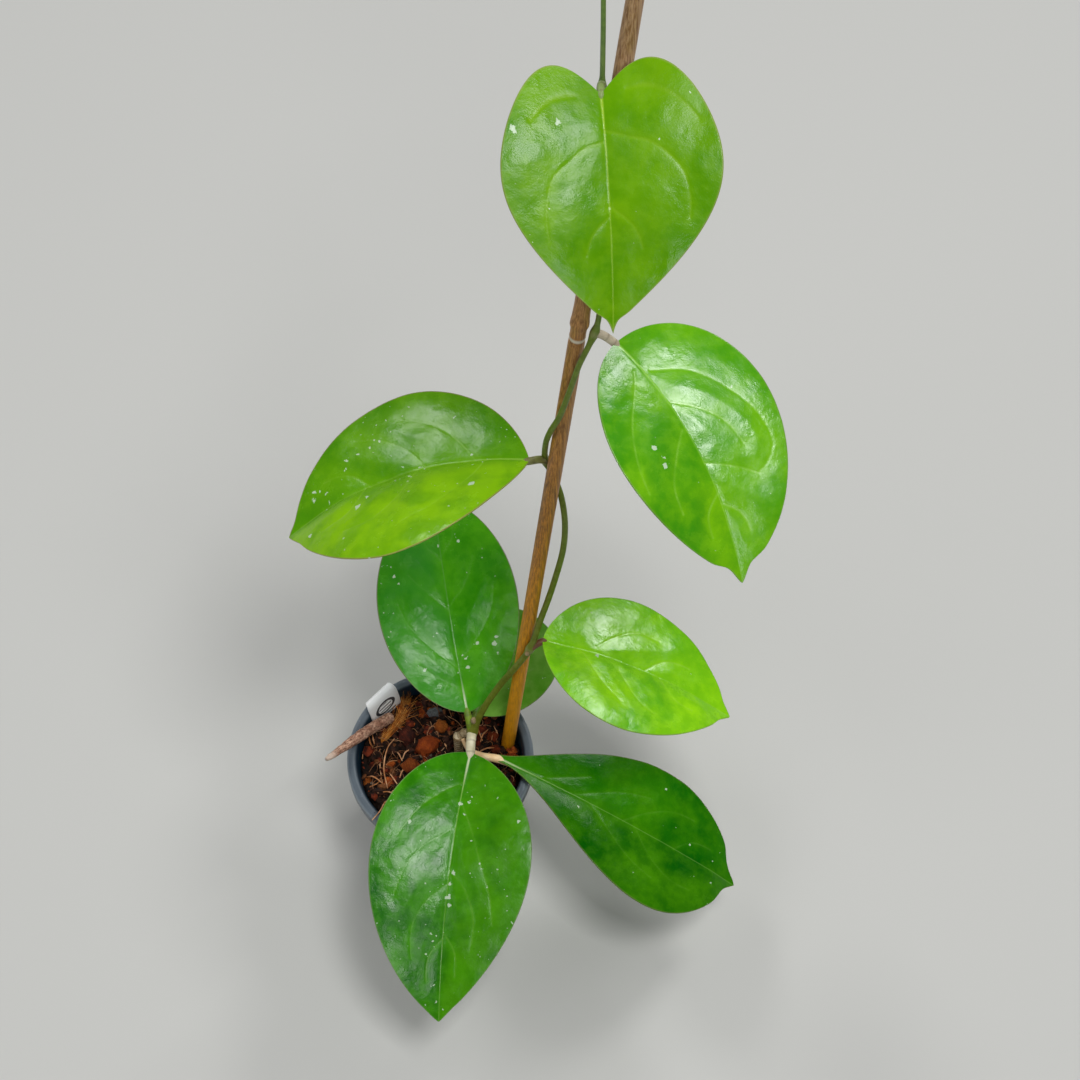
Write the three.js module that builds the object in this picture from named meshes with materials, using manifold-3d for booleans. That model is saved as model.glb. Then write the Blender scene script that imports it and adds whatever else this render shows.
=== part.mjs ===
// A potted hoya: a climbing stem with eight large waxy leaves, twined round a bamboo cane
// in a small nursery pot of husk-and-bark mix. Millimetres, +Z up, origin on the ground
// under the middle of the pot, the pot's long-leaf side facing -Y.
import * as THREE from "three";
import { mergeVertices } from "three/addons/utils/BufferGeometryUtils.js";
import Module from "manifold-3d";

const wasm = await Module();
wasm.setup();

// ---------- driving dimensions ----------
const GAP = 0.3; // clearance kept between separate pieces

const POT_HEIGHT = 80;
const POT_RIM_RADIUS = 45; // outside of the rim
const POT_BASE_RADIUS = 33; // outside of the wall at the ground
const POT_NECK_RADIUS = 41.2; // outside of the wall under the rim
const POT_WALL = 1.2;
const POT_FLOOR = 1.6;
const RIM_SKIRT = 8; // how far the rim turns down
const DRAIN_HOLES = 8;
const DRAIN_RADIUS = 2.6;
const DRAIN_CIRCLE = 22;

const SOIL_LEVEL = 66; // the mix between its lumps
const CANE_RADIUS = 3.25;
const CANE_SOIL_POINT = [32.2, 10.6, 68]; // where its axis leaves the mix
const CANE_DIRECTION = [0.0918, 0.1134, 0.9893];
const CANE_ABOVE = 540; // of a 600 mm cane
const CANE_BELOW = 57;
const CANE_JOINT = 325; // the bamboo joint, above the mix

const STEM_LOW = 1.6; // radius of the climbing stem at the bottom
const STEM_TOP = 1.0;
const BLADE = 1.0; // leaf thickness along the midrib
const BLADE_EDGE = 0.7;

// The climbing stem's centre line, from the lowest node to the tip. It turns round the cane.
const STEM_PATH = [
  [15.4, 8, 91], [21.5, 13.5, 108], [29.3, 17.3, 127], [36.5, 15.2, 151.5], [43.5, 16.8, 170],
  [48.2, 21.3, 191], [51.5, 25, 204], [55, 27.5, 224], [57.8, 29.5, 245], [58.5, 31.5, 260],
  [58, 33.5, 272], [56.6, 37.4, 280], [54.2, 41, 287], [50.3, 42, 301.5], [50.2, 41, 316.5],
  [52, 38.4, 332], [55.8, 37.3, 347], [59.5, 38.8, 364], [62.9, 40.8, 380], [66.4, 43.8, 389],
  [68.4, 46.8, 393], [69.6, 47.6, 400.5], [70.3, 49.6, 412], [70.3, 55.8, 429],
  [69.4, 59.8, 448], [68.2, 62, 464], [67.2, 62.8, 480], [66.8, 62, 498], [67.6, 62.2, 511],
  [68.3, 63.2, 520], [68.3, 65.6, 540], [68, 68, 559], [67.4, 71, 581], [68.2, 73, 592],
];
const NODE_STEPS = [0, 4, 13, 20, 29]; // the stations of that path where a leaf is borne
const NODE_RADII = [2.9, 2.1, 1.9, 1.9, 1.7];

// The eight leaves. base: where blade and stalk meet. yaw: the heading of the midrib seen
// from above. pitch: its rise at the base, then droop more to the tip. sweep: its sideways
// bend. roll lifts the left side. left, right: the widest half-widths. form: how each side
// fills out towards the base and narrows to the tip. fold: each half's rise from the midrib.
// stalk: the points the stalk runs through, from the stem, and its radius at each end.
const LEAVES = {
  leaf_1_top: {
    base: [67.6, 50.5, 533.5], yaw: 276, pitch: -19.5, droop: -24.5, roll: 0, sweep: -4,
    length: 76, left: 37, right: 34.5, leftForm: [0.58, 1.17], rightForm: [0.53, 1.06],
    lobes: [42, 39], lobeFade: 8.5, fold: 9.5, camber: 0.05,
    stalk: [[68.3, 63.2, 520], [68.1, 59.5, 526.5], [67.7, 54.5, 532]], stalkRadii: [1.5, 1.4],
  },
  leaf_2_upper_right: {
    base: [76.5, 45.2, 388.4], yaw: -44, pitch: -8.5, droop: -33.5, roll: -4.5, sweep: -26,
    length: 101, left: 35.5, right: 33, leftForm: [0.55, 0.78], rightForm: [0.55, 0.76],
    fold: 12, camber: 0.05,
    stalk: [[68.4, 46.8, 393], [71.5, 46.6, 391.6]], stalkRadii: [1.7, 1.6],
  },
  leaf_3_left: {
    base: [43.7, 38, 309.5], yaw: 173, pitch: -4.5, droop: -39, roll: 14, sweep: 22.5,
    length: 109.5, left: 45.5, right: 39.5, leftForm: [0.72, 0.79], rightForm: [0.84, 0.99],
    fold: 13.5, camber: 0.12,
    stalk: [[50.3, 42, 301.5], [47.5, 39.8, 306.5]], stalkRadii: [1.7, 1.6],
  },
  leaf_4_right: {
    base: [49.2, 18.5, 175.6], yaw: -9, pitch: -8.5, droop: -27, roll: -13, sweep: -5.5,
    length: 94, left: 34, right: 36.5, leftForm: [0.75, 0.82], rightForm: [0.76, 0.84],
    fold: 8.5, camber: 0.08,
    stalk: [[43.5, 16.8, 170], [46.2, 17.2, 173.6]], stalkRadii: [1.7, 1.6],
  },
  leaf_5_rear: {
    base: [13.3, 15.3, 98.8], yaw: 102, pitch: 26, droop: -22, roll: -1, sweep: -4,
    length: 106, left: 34, right: 33.5, leftForm: [0.63, 0.65], rightForm: [0.58, 0.59],
    fold: 7, camber: 0.05,
    stalk: [[15.4, 8, 91], [14.4, 11.4, 95.6]], stalkRadii: [2.1, 1.8],
  },
  leaf_6_rear_low: {
    base: [16.6, 20.2, 85], yaw: 64, pitch: 12, droop: -14, roll: 0, sweep: 5,
    length: 57, left: 24, right: 28, leftForm: [0.57, 0.55], rightForm: [0.57, 0.48],
    fold: 5, camber: 0.05,
    stalk: [[15.4, 8, 91], [15.8, 12.6, 86.8], [16.2, 17, 85]], stalkRadii: [1.6, 1.5],
  },
  leaf_7_front: {
    base: [14.9, -3.5, 93.3], yaw: 258.5, pitch: 1.5, droop: -35, roll: -2.5, sweep: 11.5,
    length: 127, left: 37.5, right: 38, leftForm: [0.62, 0.89], rightForm: [0.6, 0.82],
    fold: 9, camber: 0.06,
    stalk: [[15.4, 8, 91], [15, 2, 93.2]], stalkRadii: [2, 1.9],
  },
  leaf_8_low_right: {
    base: [31.2, -4.7, 86], yaw: -25, pitch: -5, droop: -33.5, roll: -9, sweep: 11.5,
    length: 131, left: 35, right: 35.5, leftForm: [1.15, 0.74], rightForm: [1.81, 0.97],
    fold: 5, camber: 0.05,
    stalk: [[10.6, 8.4, 83.5], [14, 2.6, 84.6], [21, -2, 86.2]], stalkRadii: [1.5, 1.7],
  },
};

// ---------- solids and meshes ----------
// A closed geometry as a solid that can be joined and cut.
function solid(geometry) {
  const bare = geometry.clone();
  bare.deleteAttribute("normal");
  bare.deleteAttribute("uv");
  const merged = mergeVertices(bare, 1e-4);
  return new wasm.Manifold(new wasm.Mesh({
    numProp: 3,
    vertProperties: new Float32Array(merged.attributes.position.array),
    triVerts: new Uint32Array(merged.index.array),
  }));
}

// Rings of points joined into a closed skin, with a fan over the first and last ring.
function skin(rings) {
  const sides = rings[0].length;
  const points = rings.flat();
  const index = [];
  const at = (i, j) => i * sides + (j % sides);
  for (let i = 0; i + 1 < rings.length; i++)
    for (let j = 0; j < sides; j++)
      index.push(at(i, j), at(i, j + 1), at(i + 1, j + 1),
        at(i, j), at(i + 1, j + 1), at(i + 1, j));
  const last = rings.length - 1;
  for (let j = 1; j + 1 < sides; j++)
    index.push(at(0, 0), at(0, j + 1), at(0, j), at(last, 0), at(last, j), at(last, j + 1));
  const geometry = new THREE.BufferGeometry().setFromPoints(points);
  geometry.setIndex(index);
  return solid(geometry);
}

// A round rod along a smooth line through the points; radiusAt(0..1) gives its radius.
function rod(points, radiusAt, sides, steps, wide = 1) {
  const curve = new THREE.CatmullRomCurve3(
    points.map((p) => new THREE.Vector3(...p)), false, "centripetal");
  const frames = curve.computeFrenetFrames(steps, false);
  const rings = [];
  for (let i = 0; i <= steps; i++) {
    const u = i / steps;
    const centre = curve.getPointAt(u);
    const r = radiusAt(u);
    rings.push(Array.from({ length: sides }, (_, j) => {
      const a = (j / sides) * Math.PI * 2;
      return centre.clone()
        .addScaledVector(frames.normals[i], r * Math.cos(a) * wide)
        .addScaledVector(frames.binormals[i], r * Math.sin(a));
    }));
  }
  return skin(rings);
}

function turned(profile, sides) {
  return solid(new THREE.LatheGeometry(profile.map((p) => new THREE.Vector2(...p)), sides)
    .rotateX(Math.PI / 2));
}

function ball(centre, radius, detail = 1) {
  return solid(new THREE.IcosahedronGeometry(radius, detail).translate(...centre));
}

function largest(whole) {
  return whole.decompose().sort((a, b) => b.volume() - a.volume())[0];
}

const rad = THREE.MathUtils.degToRad;
const hoya = new THREE.Group();
hoya.name = "potted_hoya";
function add(name, whole, color, roughness) {
  const { vertProperties, triVerts } = whole.getMesh();
  const geometry = new THREE.BufferGeometry();
  geometry.setAttribute("position", new THREE.BufferAttribute(vertProperties, 3));
  geometry.setIndex(new THREE.BufferAttribute(triVerts, 1));
  const mesh = new THREE.Mesh(geometry.toNonIndexed(),
    new THREE.MeshStandardMaterial({ color, roughness, metalness: 0 }));
  mesh.geometry.computeVertexNormals();
  mesh.name = name;
  hoya.add(mesh);
}

// A repeatable draw of numbers from 0 to 1.
function seeded(seed) {
  let s = seed;
  return () => {
    s = (s * 1664525 + 1013904223) % 4294967296;
    return s / 4294967296;
  };
}

// ---------- nursery pot ----------
const wallSlope = (POT_NECK_RADIUS - POT_BASE_RADIUS) / (POT_HEIGHT - 2);
const innerRadius = (z) => POT_BASE_RADIUS - POT_WALL + wallSlope * z;
const top = POT_HEIGHT;
const R = POT_RIM_RADIUS;
let pot = turned([
  [0, 0], [POT_BASE_RADIUS - 1, 0], [POT_BASE_RADIUS, 1], [POT_NECK_RADIUS, top - 2],
  [R - 1.2, top - 2], [R - 1.2, top - RIM_SKIRT], [R - 0.2, top - RIM_SKIRT], [R, top - 1.4],
  [R - 0.4, top - 0.4], [R - 1.2, top], [R - 3.4, top], [R - 4.3, top - 0.5],
  [innerRadius(top - 2), top - 2], [innerRadius(POT_FLOOR), POT_FLOOR], [0, POT_FLOOR],
], 48);
for (let i = 0; i < DRAIN_HOLES; i++) {
  const a = ((i + 0.5) / DRAIN_HOLES) * Math.PI * 2;
  pot = pot.subtract(solid(new THREE.CylinderGeometry(DRAIN_RADIUS, DRAIN_RADIUS, 6, 12)
    .rotateX(Math.PI / 2)
    .translate(DRAIN_CIRCLE * Math.cos(a), DRAIN_CIRCLE * Math.sin(a), 0.8)));
}
add("pot", pot, 0x5b6670, 0.5);

// ---------- bamboo cane ----------
// Straight, with one joint: a swollen ridge over a narrow groove. The foot is cut to a taper.
const caneAt = (u) => CANE_DIRECTION.map((d, k) => CANE_SOIL_POINT[k] + d * u);
function caneSolid(extra) {
  const along = new THREE.Vector3(...CANE_DIRECTION).normalize();
  const across = new THREE.Vector3(0, 1, 0).cross(along).normalize();
  const third = along.clone().cross(across);
  const stations = [
    [-CANE_BELOW, 1.6], [-CANE_BELOW + 9, 3.0], [-CANE_BELOW + 12, CANE_RADIUS],
    [CANE_JOINT - 5, CANE_RADIUS], [CANE_JOINT - 1.2, 3.05], [CANE_JOINT, 3.3],
    [CANE_JOINT + 1.6, 3.75], [CANE_JOINT + 4, 3.5], [CANE_JOINT + 9, CANE_RADIUS],
    [CANE_ABOVE - 0.8, CANE_RADIUS - 0.15], [CANE_ABOVE, 2.6],
  ];
  return skin(stations.map(([u, r]) => Array.from({ length: 16 }, (_, j) => {
    const a = (j / 16) * Math.PI * 2;
    return new THREE.Vector3(...caneAt(u))
      .addScaledVector(across, (r + extra) * Math.cos(a))
      .addScaledVector(third, (r + extra) * Math.sin(a));
  })));
}
add("cane", caneSolid(0), 0x97650f, 0.6);

// ---------- plant stem ----------
// The old cut stem rises from the mix, a corky bend joins it to the lowest node, and the
// climbing stem runs on from there round the cane. Each leaf-bearing node is swollen.
function stemSolid(extra) {
  let stem = rod(STEM_PATH, (u) => STEM_LOW + (STEM_TOP - STEM_LOW) * u - (u > 0.985 ? 0.4 : 0)
    + extra, 6, 60);
  stem = stem.add(rod([[8.6, 7.2, 46 - extra], [8.5, 7.6, 68], [8.5, 9, 84.5 + extra]],
    (u) => 2.2 + (u > 0.9 ? 0.3 : 0) + extra, 8, 6));
  stem = stem.add(rod([[8.6, 8.6, 81], [11.4, 9.4, 86.5], [15.4, 8, 91]],
    (u) => 2.1 + 0.2 * u + extra, 6, 4));
  NODE_STEPS.forEach((step, k) => {
    stem = stem.add(ball(STEM_PATH[step], NODE_RADII[k] + extra));
  });
  stem = stem.add(ball([17.3, 11.8, 96.5], 1.4 + extra)); // a resting bud in the lowest axil
  stem = stem.add(ball([42.2, 14.6, 169.4], 1.1 + extra)); // the scar of a fallen leaf
  // The growing point: two small unopened leaves at the very tip.
  for (const side of [-1, 1])
    stem = stem.add(rod([[68, 72.6, 590], [68.4 + side * 1.6, 73.6, 595], [68.8 + side * 1.2, 74, 601]],
      (u) => 0.9 - 0.45 * u + extra, 5, 3));
  return stem;
}
const stemGrown = stemSolid(GAP);
add("stem", stemSolid(0), 0x5a7a1c, 0.5);

// ---------- what lies in the pot ----------
// A rough lump of husk, bark or grit: an uneven block with its corners knocked about.
function lump(centre, size, turn, seed, extra = 0, block = new THREE.IcosahedronGeometry(1, 0)) {
  const draw = seeded(seed);
  block.deleteAttribute("normal");
  block.deleteAttribute("uv");
  const merged = mergeVertices(block, 1e-4);
  const at = merged.attributes.position;
  for (let i = 0; i < at.count; i++) {
    const k = 0.78 + 0.44 * draw();
    const p = new THREE.Vector3().fromBufferAttribute(at, i).multiplyScalar(k);
    // pushed out towards a box, so that the lump has faces and corners
    const box = Math.max(Math.abs(p.x), Math.abs(p.y), Math.abs(p.z));
    p.multiplyScalar(1 + 0.35 * (p.length() / box - 1));
    p.set(p.x * size[0], p.y * size[1], p.z * size[2]);
    p.addScaledVector(p.clone().normalize(), extra * 1.25);
    at.setXYZ(i, p.x, p.y, p.z);
  }
  merged.rotateX(turn[0]).rotateY(turn[1]).rotateZ(turn[2]).translate(...centre);
  return solid(merged);
}

// Loose pieces on top: [name, centre, half-sizes, turns, colour].
const CHIPS = [
  ["husk_chip_1", [-7, 9.6, 70], [6.4, 5.6, 4.6], [0.3, 0.2, 0.5], 0x98470e],
  ["husk_chip_2", [-14.6, -0.6, 69], [4.6, 4.4, 4.6], [0.2, -0.3, 0.9], 0x94480e],
  ["husk_chip_3", [34.6, 1.6, 69], [3.6, 4.6, 4.6], [0.1, 0.3, 0.3], 0x8f3c0b],
  ["husk_chip_4", [25.4, 14.2, 69], [3.8, 3.4, 4.4], [0.4, 0.1, 0.2], 0x7b2e0a],
  ["husk_chip_5", [-0.4, 19.4, 70], [3.4, 3, 3.6], [-0.3, 0.2, 0.7], 0x98501a],
  ["husk_chip_6", [-35.2, -9.4, 68], [3, 4.4, 4.2], [0.2, 0.4, -0.1], 0x8a4310],
  ["bark_chip_1", [-17, 15.6, 68.6], [4.8, 5.4, 4.4], [0.5, -0.2, 0.4], 0x3a1a0c],
  ["grit_1", [-3.4, 27, 69.4], [4.2, 3, 3.6], [0.2, 0.3, 0.1], 0x5c6360],
];

// Husk threads that stand up from the mix, with both ends rooted in it.
const THREADS = [
  [[-30.4, 10.6, 64], [-29.8, 4, 69.6], [-29.2, -4, 70.2], [-28.2, -13, 64]],
  [[-22.6, 15, 64], [-26, 6, 71], [-27.2, -4, 71], [-24.2, -15.6, 64]],
  [[-33, 6, 63], [-37.2, 4.6, 70.4], [-34, 6, 71.4], [-29, 6.4, 64]],
  [[-33.4, -5, 64], [-31.4, -9.4, 70.4], [-27.4, -11.4, 70], [-24, -12.6, 64]],
  [[-25, 0, 64], [-23.6, -5, 70], [-20.8, -10.4, 64]],
  [[-17.4, 4, 64], [-19, -6, 70.2], [-20.6, -12, 64]],
  [[-25.6, -17, 64], [-26.6, -22.5, 74], [-28.4, -29.2, 81.2], [-31.6, -33.6, 82.4]],
  [[15.8, 9, 64], [19, 6.4, 69.4], [24.4, 6.6, 69.4], [29, 9, 64]],
  [[0.4, 12.6, 64], [3.4, 13.6, 69], [6, 13, 64]],
  [[20, -20, 64], [12, -23, 69.6], [2, -24, 64]],
  [[-6, -14, 64], [-14, -20, 70], [-16, -27, 64]],
  [[10, 24, 64], [16, 20, 69.4], [20, 12, 64]],
];

const soilTop = SOIL_LEVEL;
const soilRadius = (z) => innerRadius(z) - GAP - 0.15;
let mix = turned([
  [0, POT_FLOOR + GAP], [soilRadius(POT_FLOOR), POT_FLOOR + GAP],
  [soilRadius(soilTop - 2), soilTop - 2], [soilRadius(soilTop) - 1.5, soilTop - 0.5],
  [0, soilTop],
], 32);
const draw = seeded(7);
const lumps = [];
for (let ring = 0; ring < 5; ring++) {
  const count = 1 + ring * 5;
  for (let i = 0; i < count; i++) {
    const a = ((i + 0.7 * draw()) / count) * Math.PI * 2;
    const r = ring * 8.4 + 2 * (draw() - 0.5);
    const s = 3.4 + 2.6 * draw();
    const reach = Math.min(r, soilRadius(soilTop) - s * 1.3);
    lumps.push(lump([reach * Math.cos(a), reach * Math.sin(a), soilTop - 0.8 + 1.2 * draw()],
      [s, s * (0.7 + 0.4 * draw()), s * 0.6], [draw() * 3, draw() * 3, draw() * 3],
      100 + ring * 40 + i, 0, new THREE.BoxGeometry(1.3, 1.3, 1.3)));
  }
}
for (const one of lumps) mix = mix.add(one);
const bowl = turned([[0, 1], [innerRadius(1) - GAP, 1], [innerRadius(78) - GAP, 78], [0, 78]],
  48);
mix = mix.intersect(bowl);
for (const line of THREADS)
  mix = mix.add(rod(line, (u) => 0.55 - 0.15 * Math.abs(2 * u - 1), 4, 6));

// The bark twig lies over the rim with its broken tip outside.
const twigLine = [[-53.7, -2.8, 89], [-48.7, 1.7, 88.2], [-43.3, 7.3, 86], [-38.8, 11.2, 83.8],
  [-31.4, 16.4, 78.8], [-24.4, 21.4, 73.8]];
const twigRadius = (u) => (u < 0.04 ? 1.1 : 1.5 + 1.3 * Math.min(1, (u - 0.04) * 2));
const twig = (extra) => rod(twigLine, (u) => twigRadius(u) + extra, 8, 12);

// The frayed strip of orange husk lies across the mix towards the label.
const stripLine = [[-31, 9.8, 69.6], [-26.4, 15.6, 70.6], [-20.6, 23.2, 71.4], [-16.4, 32, 71.8]];
const strip = (extra) => rod(stripLine, (u) => 1.1 + 0.5 * u + extra, 6, 8, 1.7);

// The label: a thin tag, pointed below, leaning on the rim with its top edge curled outwards.
const TAG = { azimuth: 136.1, half: 9, thick: 0.8 };
function tagSolid(extra) {
  // [how far out, height, half-width] down its length
  const rows = [[34.6, 38, 1.2], [35.6, 50, 5.4], [37.1, 66, 8.6], [37.9, 76, TAG.half],
    [39, 82, TAG.half], [40.2, 86, TAG.half - 0.4], [41.6, 88, TAG.half - 1.4]];
  const out = new THREE.Vector3(Math.cos(rad(TAG.azimuth)), Math.sin(rad(TAG.azimuth)), 0);
  const along = new THREE.Vector3(-out.y, out.x, 0);
  const t = TAG.thick / 2 + extra;
  return skin(rows.map(([r, z, half], k) => {
    const h = half + extra;
    const zz = z + (k === 0 ? -extra : k === rows.length - 1 ? extra : 0);
    const c = out.clone().multiplyScalar(r).setZ(zz);
    const p = (a, b) => c.clone().addScaledVector(along, a).addScaledVector(out, b);
    return [p(-h, -t), p(-h, t), p(h, t), p(h, -t)];
  }));
}

// Each loose piece sits in a hollow of the mix, and the cane and the stem stand in plain holes.
const chipSolids = CHIPS.map(([, c, size, turn], i) => (extra) =>
  lump(c, size, turn, 500 + i, extra));
for (const grown of chipSolids) mix = mix.subtract(grown(GAP));
mix = mix.subtract(caneSolid(GAP)).subtract(stemGrown).subtract(tagSolid(GAP))
  .subtract(twig(GAP)).subtract(strip(GAP));
mix = largest(mix);
add("potting_mix", mix, 0x1e1109, 0.95);
const stripGrown = strip(GAP);
const twigGrown = twig(GAP);
chipSolids.forEach((make, i) => {
  const chip = make(0).intersect(bowl).subtract(caneSolid(GAP)).subtract(stripGrown).subtract(twigGrown);
  add(CHIPS[i][0], largest(chip), CHIPS[i][4], 0.9);
});
add("bark_twig", twig(0), 0x6a4a3a, 0.85);
add("husk_strip", largest(strip(0).subtract(twigGrown)), 0xa8661e, 0.9);
add("plant_label", tagSolid(0), 0xd8dade, 0.45);

// ---------- leaves ----------
// The blade is a sheet over a bent midrib. t runs from the stalk to the tip, v from the
// right edge (-1) to the left edge (1).
function fill([p, q], t) {
  const m = p / (p + q);
  return t <= 0 || t >= 1 ? 0 : (t / m) ** p * ((1 - t) / (1 - m)) ** q;
}
function bladePoint(leaf, t, v, drop) {
  const { length, lobes = [0, 0], lobeFade = 3 } = leaf;
  const wide = v > 0 ? leaf.left : leaf.right;
  const f = fill(v > 0 ? leaf.leftForm : leaf.rightForm, t);
  const lobe = (v > 0 ? lobes[0] : lobes[1]) * Math.abs(v) * f * (1 - t) ** lobeFade;
  const s = t - lobe / length;
  const along = Math.min(Math.max(s, 0), 1);
  // The midrib's point at "along", by summing its bends.
  const mid = new THREE.Vector3();
  const N = 24;
  for (let k = 0; k < N; k++) {
    const c = (along * (k + 0.5)) / N;
    const a = rad(leaf.droop) * c;
    const b = rad(leaf.sweep) * c;
    mid.addScaledVector(new THREE.Vector3(
      Math.cos(a) * Math.cos(b), Math.sin(b) * Math.cos(a), Math.sin(a)), (length * along) / N);
  }
  mid.x += Math.min(s, 0) * length;
  const a = rad(leaf.droop) * along;
  const b = rad(leaf.sweep) * along;
  const forward = new THREE.Vector3(
    Math.cos(a) * Math.cos(b), Math.cos(a) * Math.sin(b), Math.sin(a));
  const left = new THREE.Vector3(-Math.sin(b), Math.cos(b), 0);
  const up = forward.clone().cross(left);
  const w = Math.abs(v) * f;
  const rise = wide * (Math.tan(rad(leaf.fold)) * w - leaf.camber * w * w);
  return mid.addScaledVector(left, v * wide * f).addScaledVector(up, rise - drop);
}
function place(leaf, p) {
  const y = rad(leaf.yaw);
  const i = rad(leaf.pitch);
  const r = rad(leaf.roll);
  const X = new THREE.Vector3(Math.cos(i) * Math.cos(y), Math.cos(i) * Math.sin(y), Math.sin(i));
  const Y0 = new THREE.Vector3(-Math.sin(y), Math.cos(y), 0);
  const Z0 = X.clone().cross(Y0);
  const Y = Y0.clone().multiplyScalar(Math.cos(r)).addScaledVector(Z0, Math.sin(r));
  const Z = Z0.clone().multiplyScalar(Math.cos(r)).addScaledVector(Y0, -Math.sin(r));
  return new THREE.Vector3(...leaf.base)
    .addScaledVector(X, p.x).addScaledVector(Y, p.y).addScaledVector(Z, p.z);
}
function bladeSolid(leaf, long = 16, across = 6) {
  const points = [];
  const index = [];
  const at = (i, j, under) => (i * (across + 1) + j) * 2 + under;
  for (let i = 0; i <= long; i++) {
    const t = 0.5 * (1 - Math.cos((Math.PI * i) / long));
    for (let j = 0; j <= across; j++) {
      const v = -1 + (2 * j) / across;
      const thick = BLADE + (BLADE_EDGE - BLADE) * v * v;
      points.push(place(leaf, bladePoint(leaf, t, v, 0)));
      points.push(place(leaf, bladePoint(leaf, t, v, thick)));
    }
  }
  // At the stalk and at the tip the whole cross row is one point above and one below.
  for (const i of [0, long])
    for (let j = 0; j <= across; j++)
      for (const under of [0, 1]) {
        const middle = at(i, across / 2, 1);
        points[at(i, j, under)].copy(points[middle]).addScaledVector(
          points[at(i, across / 2, 0)].clone().sub(points[middle]), under ? 0 : 1);
      }
  const quad = (a, b, c, d) => index.push(a, b, c, a, c, d);
  for (let i = 0; i < long; i++) {
    for (let j = 0; j < across; j++) {
      quad(at(i, j, 0), at(i + 1, j, 0), at(i + 1, j + 1, 0), at(i, j + 1, 0));
      const [a, b, c, d] = [at(i, j, 1), at(i + 1, j, 1), at(i + 1, j + 1, 1), at(i, j + 1, 1)];
      index.push(a, c, b, a, d, c);
    }
    quad(at(i, 0, 1), at(i + 1, 0, 1), at(i + 1, 0, 0), at(i, 0, 0));
    quad(at(i, across, 0), at(i + 1, across, 0), at(i + 1, across, 1), at(i, across, 1));
  }
  const geometry = new THREE.BufferGeometry().setFromPoints(points);
  geometry.setIndex(index);
  return solid(geometry);
}
const leafColours = {
  leaf_1_top: 0x69a505, leaf_2_upper_right: 0x66b305, leaf_3_left: 0x6ea408,
  leaf_4_right: 0x80cc08, leaf_5_rear: 0x2d7d14, leaf_6_rear_low: 0x437e25,
  leaf_7_front: 0x32890a, leaf_8_low_right: 0x1c6a08,
};
for (const [name, leaf] of Object.entries(LEAVES)) {
  const rib = [0, 0.14, 0.3, 0.46, 0.62].map((t) => {
    const p = place(leaf, bladePoint(leaf, t, 0, 1.05 - 0.35 * t));
    return [p.x, p.y, p.z];
  });
  const [r0, r1] = leaf.stalkRadii;
  const share = 0.3; // the stalk's part of the whole line, roughly
  const stalk = rod([...leaf.stalk, ...rib],
    (u) => (u < share ? r0 + (r1 - r0) * (u / share)
      : 0.45 + (r1 - 0.45) * (1 - (u - share) / (1 - share)) ** 1.6), 6, 9);
  const whole = bladeSolid(leaf).add(stalk).subtract(stemGrown);
  add(name, largest(whole), leafColours[name], 0.35);
}
export default hoya;
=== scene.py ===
# A potted hoya: a climbing plant with eight broad waxy leaves, twined round a bamboo cane in
# a small nursery pot. Lengths are in metres unless a name says mm.
import math
import random

import bmesh
import bpy
import numpy as np
from mathutils import Euler, Matrix, Vector, kdtree, noise
from mathutils.bvhtree import BVHTree


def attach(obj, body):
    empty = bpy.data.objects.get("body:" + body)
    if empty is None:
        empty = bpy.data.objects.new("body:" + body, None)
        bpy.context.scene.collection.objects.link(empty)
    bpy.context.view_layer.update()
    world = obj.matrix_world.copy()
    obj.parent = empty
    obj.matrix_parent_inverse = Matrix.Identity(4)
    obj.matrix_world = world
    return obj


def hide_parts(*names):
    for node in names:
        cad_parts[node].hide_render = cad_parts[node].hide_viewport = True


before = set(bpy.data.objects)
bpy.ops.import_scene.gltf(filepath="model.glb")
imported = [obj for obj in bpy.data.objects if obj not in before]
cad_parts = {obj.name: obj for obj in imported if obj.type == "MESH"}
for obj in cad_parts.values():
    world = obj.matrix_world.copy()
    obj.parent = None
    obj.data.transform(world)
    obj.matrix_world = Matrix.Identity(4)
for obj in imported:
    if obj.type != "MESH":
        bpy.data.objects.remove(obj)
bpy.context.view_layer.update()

# ---------------------------------------------------------------------------------------------
# The nursery pot: thin slate-grey plastic, injection-moulded in one shot with a turned-down rim
# and drain holes, and tapered so that pots stack. It has no seams, only soft edges. The bench
# has scuffed it and its lip is worn pale. The inside of its wall is painted blue-black as shade.
MM = 0.001
POT_PROFILE_MM = [
    (0, 0), (31.6, 0), (32.6, 0.3), (33, 1), (40.9, 76.6), (41.3, 78), (43.4, 78), (43.8, 77.4),
    (43.8, 72.4), (44.1, 72), (44.6, 72), (44.9, 72.4), (45, 78.4), (44.7, 79.4), (44, 79.9),
    (43, 80), (41.9, 79.95), (41.1, 79.6), (40.5, 78.9), (39.9, 77.6), (36, 41), (31.95, 2.2),
    (31.5, 1.7), (30.8, 1.6), (0, 1.6),
]  # radius and height, from the middle of the underside, up the outside and down the inside
POT_SIDES = 128
WALL_LEAN = 0.1045  # how far the wall leans out for each metre that it rises
FLOOR_MIDDLE_MM = 0.8  # halfway through the floor of the pot
DRAIN_HOLES, DRAIN_CIRCLE_MM, DRAIN_RADIUS_MM = 8, 22, 2.6


def paint(hex_colour):
    """A colour as seen on a screen, such as "5b6670", turned into linear light."""
    parts = [int(hex_colour[i:i + 2], 16) / 255 for i in (0, 2, 4)]
    return tuple(c / 12.92 if c <= 0.04045 else ((c + 0.055) / 1.055) ** 2.4
                 for c in parts) + (1.0,)


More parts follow.
